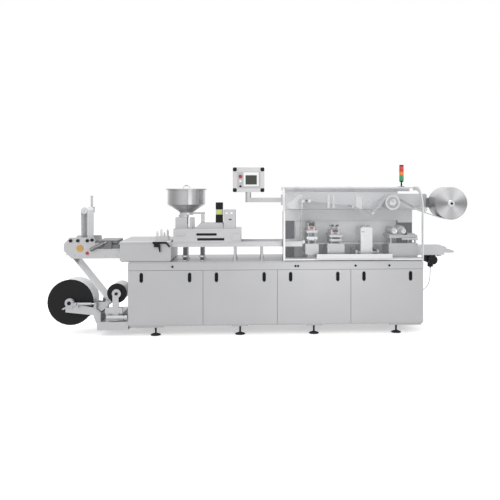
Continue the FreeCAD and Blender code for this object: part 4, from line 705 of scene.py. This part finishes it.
class MACHINE_OT_feeder(bpy.types.Operator):
    """Add the column's black faces and window, the slot liners, the box's buttons and the post sleeves"""

    bl_idname = "machine.feeder"
    bl_label = "Feeder"

    def execute(self, context):
        """Make the pieces on the feeder."""
        low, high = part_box("feeder_controls")
        level = at(0, 0, FEEDER_TOP).z
        self.make_column(low, high)
        self.make_liners(level)
        self.make_box(high, level)
        for number, along in enumerate(POSTS_ALONG):
            sleeve(
                "post_sleeve_%d" % number, at(along, POST_BACK, POST_UP), POST_RADIUS, POST_HEIGHT,
                "near_black", "machine",
            )
        return {"FINISHED"}

    def make_column(self, low, high):
        """Black faces and window of the sensor column."""
        front = at(0, COLUMN_FRONT, 0).y
        for name, bottom, top in COLUMN_FACES:
            plate(
                name, Vector((low.x - COLUMN_LAP, front - COLUMN_PROUD, high.z - bottom)),
                Vector((low.x + COLUMN_WIDTH, front + COLUMN_DEPTH, high.z - top)),
                "black_plastic", "machine", "feeder_controls", *COLUMN_EDGE,
            )
        left, right, bottom, top = WINDOW_SIDES
        plate(
            "sensor_window", Vector((low.x + left, front - WINDOW_PROUD, high.z - bottom)),
            Vector((low.x + right, front + WINDOW_SUNK, high.z - top)),
            "window", "machine", "feeder_controls", *WINDOW_EDGE,
        )

    def make_liners(self, level):
        """Black liners at the back of the feeder box's slots."""
        corner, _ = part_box("feeder_box")
        for name, left, right, bottom, top, deep in SLOT_LINERS:
            plate(
                name, Vector((corner.x + left, corner.y + SLOT_RECESS, level - bottom)),
                Vector((corner.x + right, corner.y + deep + SLOT_RECESS, level - top)),
                "black_plastic", "machine", "feeder_box", *SLOT_EDGE,
            )

    def make_box(self, high, level):
        """Buttons and slot of the small control box."""
        front = at(0, BOX_FRONT, 0).y
        for number, offset in enumerate(BOX_BUTTONS):
            place = Vector((high.x - offset, front - BOX_BUTTON_PROUD, level + BOX_BUTTON_UP))
            button(
                "box_button_%d" % number, place, *BOX_BUTTON_SIZE, "chrome", "machine", "feeder_controls"
            )
        left, right, bottom, top = BOX_SLOT_SIDES
        plate(
            "box_slot", Vector((high.x - left, front - BOX_SLOT_PROUD, level + bottom)),
            Vector((high.x - right, front + BOX_SLOT_PROUD, level + top)),
            "black_plastic", "machine", "feeder_controls", *BOX_SLOT_EDGE,
        )


class MACHINE_OT_infeed(bpy.types.Operator):
    """Add the brass dial, the small red knob and the bolt heads of the in-feed"""

    bl_idname = "machine.infeed"
    bl_label = "In-feed"

    def execute(self, context):
        """Make the pieces on the in-feed side plate."""
        low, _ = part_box("infeed_frame")
        body, slot = "machine", "infeed_frame"
        level = at(0, 0, FILM_LINE).z
        for name, along, up, proud, radius, depth, finish in INFEED_KNOBS:
            place = Vector((low.x + along, low.y - proud, level + up))
            button(name, place, radius, depth, finish, body, slot)
        for number, (along, up) in enumerate(INFEED_BOLTS):
            place = Vector((low.x + along, low.y - BOLT_PROUD, level + up))
            button(
                "infeed_bolt_%d" % number, place, *BOLT_SIZE, "tool_steel", body, slot, "y", BOLT_FLATS
            )
        return {"FINISHED"}


class MACHINE_OT_tower(bpy.types.Operator):
    """Add the coloured lenses of the signal tower"""

    bl_idname = "machine.tower"
    bl_label = "Signal tower"

    def execute(self, context):
        """Make the three lenses."""
        _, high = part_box("signal_tower")
        centre = middle("signal_tower")
        z = high.z - TOWER_CAP
        for name, height, finish in TOWER_LENSES:
            place = Vector((centre.x, centre.y, z - height / 2))
            sleeve(name, place, LENS_RADIUS, height - LENS_GAP, finish, "machine")
            z -= height
        return {"FINISHED"}


class MACHINE_OT_stations(bpy.types.Operator):
    """Add the caps, valves and red marks of the stations"""

    bl_idname = "machine.stations"
    bl_label = "Stations"

    def execute(self, context):
        """Make the small pieces of the stations."""
        for node in ("sealing_frame", "perforation_unit"):
            places = [middle(node).x + side for side in STATION_CAPS]
            cap_row(
                node + "_cap", node, "machine", places, STATION_CAP_PLACE, STATION_CAP_SIZE,
                "black_plastic", "z", CAP_FLATS,
            )
        low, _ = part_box("traction_carriage")
        cap_row(
            "clamp_cap", "traction_carriage", "gripper", [low.x + side for side in CLAMP_CAPS],
            CLAMP_CAP_PLACE, CLAMP_CAP_SIZE, "black_plastic", "z", CAP_FLATS,
        )
        low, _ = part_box("punch_unit")
        cap_row(
            "punch_cap", "punch_unit", "machine", [low.x + along for along in PUNCH_CAPS],
            PUNCH_CAP_PLACE, PUNCH_CAP_SIZE, "chrome", "y", BUTTON_FLATS,
        )
        for name, corner, far_corner, finish, body, slot in STATION_PLATES:
            plate(name, at(*corner), at(*far_corner), finish, body, slot, *STATION_EDGE)
        return {"FINISHED"}


class MACHINE_OT_bay(bpy.types.Operator):
    """Add the guard's white and dark edges, the white wall, the wheel's rings and the side stop"""

    bl_idname = "machine.bay"
    bl_label = "Guard and bay"

    def execute(self, context):
        """Make the edges, the wall and the rings."""
        for name, corner, far_corner, finish, body, slot in BAY_PLATES:
            plate(name, at(*corner), at(*far_corner), finish, body, slot, *BAY_EDGE)
        for name, centre, radius, depth, finish, body, slot in WHEEL_RINGS:
            button(name, at(*centre), radius, depth, finish, body, slot)
        return {"FINISHED"}


class MACHINE_OT_stage(bpy.types.Operator):
    """Set the floor, the lamps and the pale background"""

    bl_idname = "machine.stage"
    bl_label = "Stage"

    def execute(self, context):
        """Make the stage."""
        bpy.ops.object.select_all(action="DESELECT")
        bpy.ops.mesh.primitive_plane_add(size=FLOOR_SIZE, location=FLOOR_PLACE)
        floor = context.object
        floor.name = "floor"
        colour = tuple(context.scene.machine_colours.floor)
        material = finish_material("pale_floor", (colour, *FLOOR_SURFACE))
        tree = material.node_tree
        shader = tree.nodes["Principled BSDF"]
        shader.inputs["Emission Color"].default_value = WHITE
        path = tree.nodes.new("ShaderNodeLightPath")
        glow = maths(tree, "MULTIPLY", path.outputs["Is Camera Ray"], FLOOR_GLOW)
        tree.links.new(glow, shader.inputs["Emission Strength"])
        put_finish(floor, material)
        for lamp in LAMPS:
            area_lamp(*lamp)
        self.make_world(context)
        context.scene.view_settings.view_transform = "Standard"
        return {"FINISHED"}

    def make_world(self, context):
        """White to the camera and in reflections, softer as light."""
        world = bpy.data.worlds.new("pale_world")
        world.use_nodes = True
        context.scene.world = world
        tree = world.node_tree
        background = tree.nodes["Background"]
        background.inputs["Color"].default_value = WHITE
        path = tree.nodes.new("ShaderNodeLightPath").outputs
        seen = maths(tree, "MAXIMUM", path["Is Camera Ray"], path["Is Transmission Ray"])
        seen = maths(tree, "MAXIMUM", seen, path["Is Glossy Ray"])
        strength = maths(tree, "ADD", maths(tree, "MULTIPLY", seen, WORLD_SEEN_MORE), WORLD_LIGHT)
        tree.links.new(strength, background.inputs["Strength"])


STEPS = (
    MACHINE_OT_camera, MACHINE_OT_cable, MACHINE_OT_finishes, MACHINE_OT_operator_panel, MACHINE_OT_feeder,
    MACHINE_OT_infeed, MACHINE_OT_tower, MACHINE_OT_stations, MACHINE_OT_bay, MACHINE_OT_stage,
)


class MACHINE_PT_steps(bpy.types.Panel):
    """Lists the steps that dress the machine."""

    bl_idname = "MACHINE_PT_steps"
    bl_label = "Blister packing machine"
    bl_space_type = "VIEW_3D"
    bl_region_type = "UI"
    bl_category = "Machine"

    def draw(self, context):
        """Draw a button for each step."""
        for step in STEPS:
            self.layout.operator(step.bl_idname)


CLASSES = (MachineSizes, MachineColours) + STEPS + (MACHINE_PT_steps,)


def register():
    """Register the classes and their settings."""
    for kind in CLASSES:
        bpy.utils.register_class(kind)
    bpy.types.Scene.machine_sizes = bpy.props.PointerProperty(type=MachineSizes)
    bpy.types.Scene.machine_colours = bpy.props.PointerProperty(type=MachineColours)


def unregister():
    """Take the classes and their settings out again."""
    del bpy.types.Scene.machine_colours
    del bpy.types.Scene.machine_sizes
    for kind in reversed(CLASSES):
        bpy.utils.unregister_class(kind)


def main():
    """Dress the machine."""
    register()
    for step in STEPS:
        group, name = step.bl_idname.split(".")
        getattr(getattr(bpy.ops, group), name)()


if __name__ == "__main__":
    main()
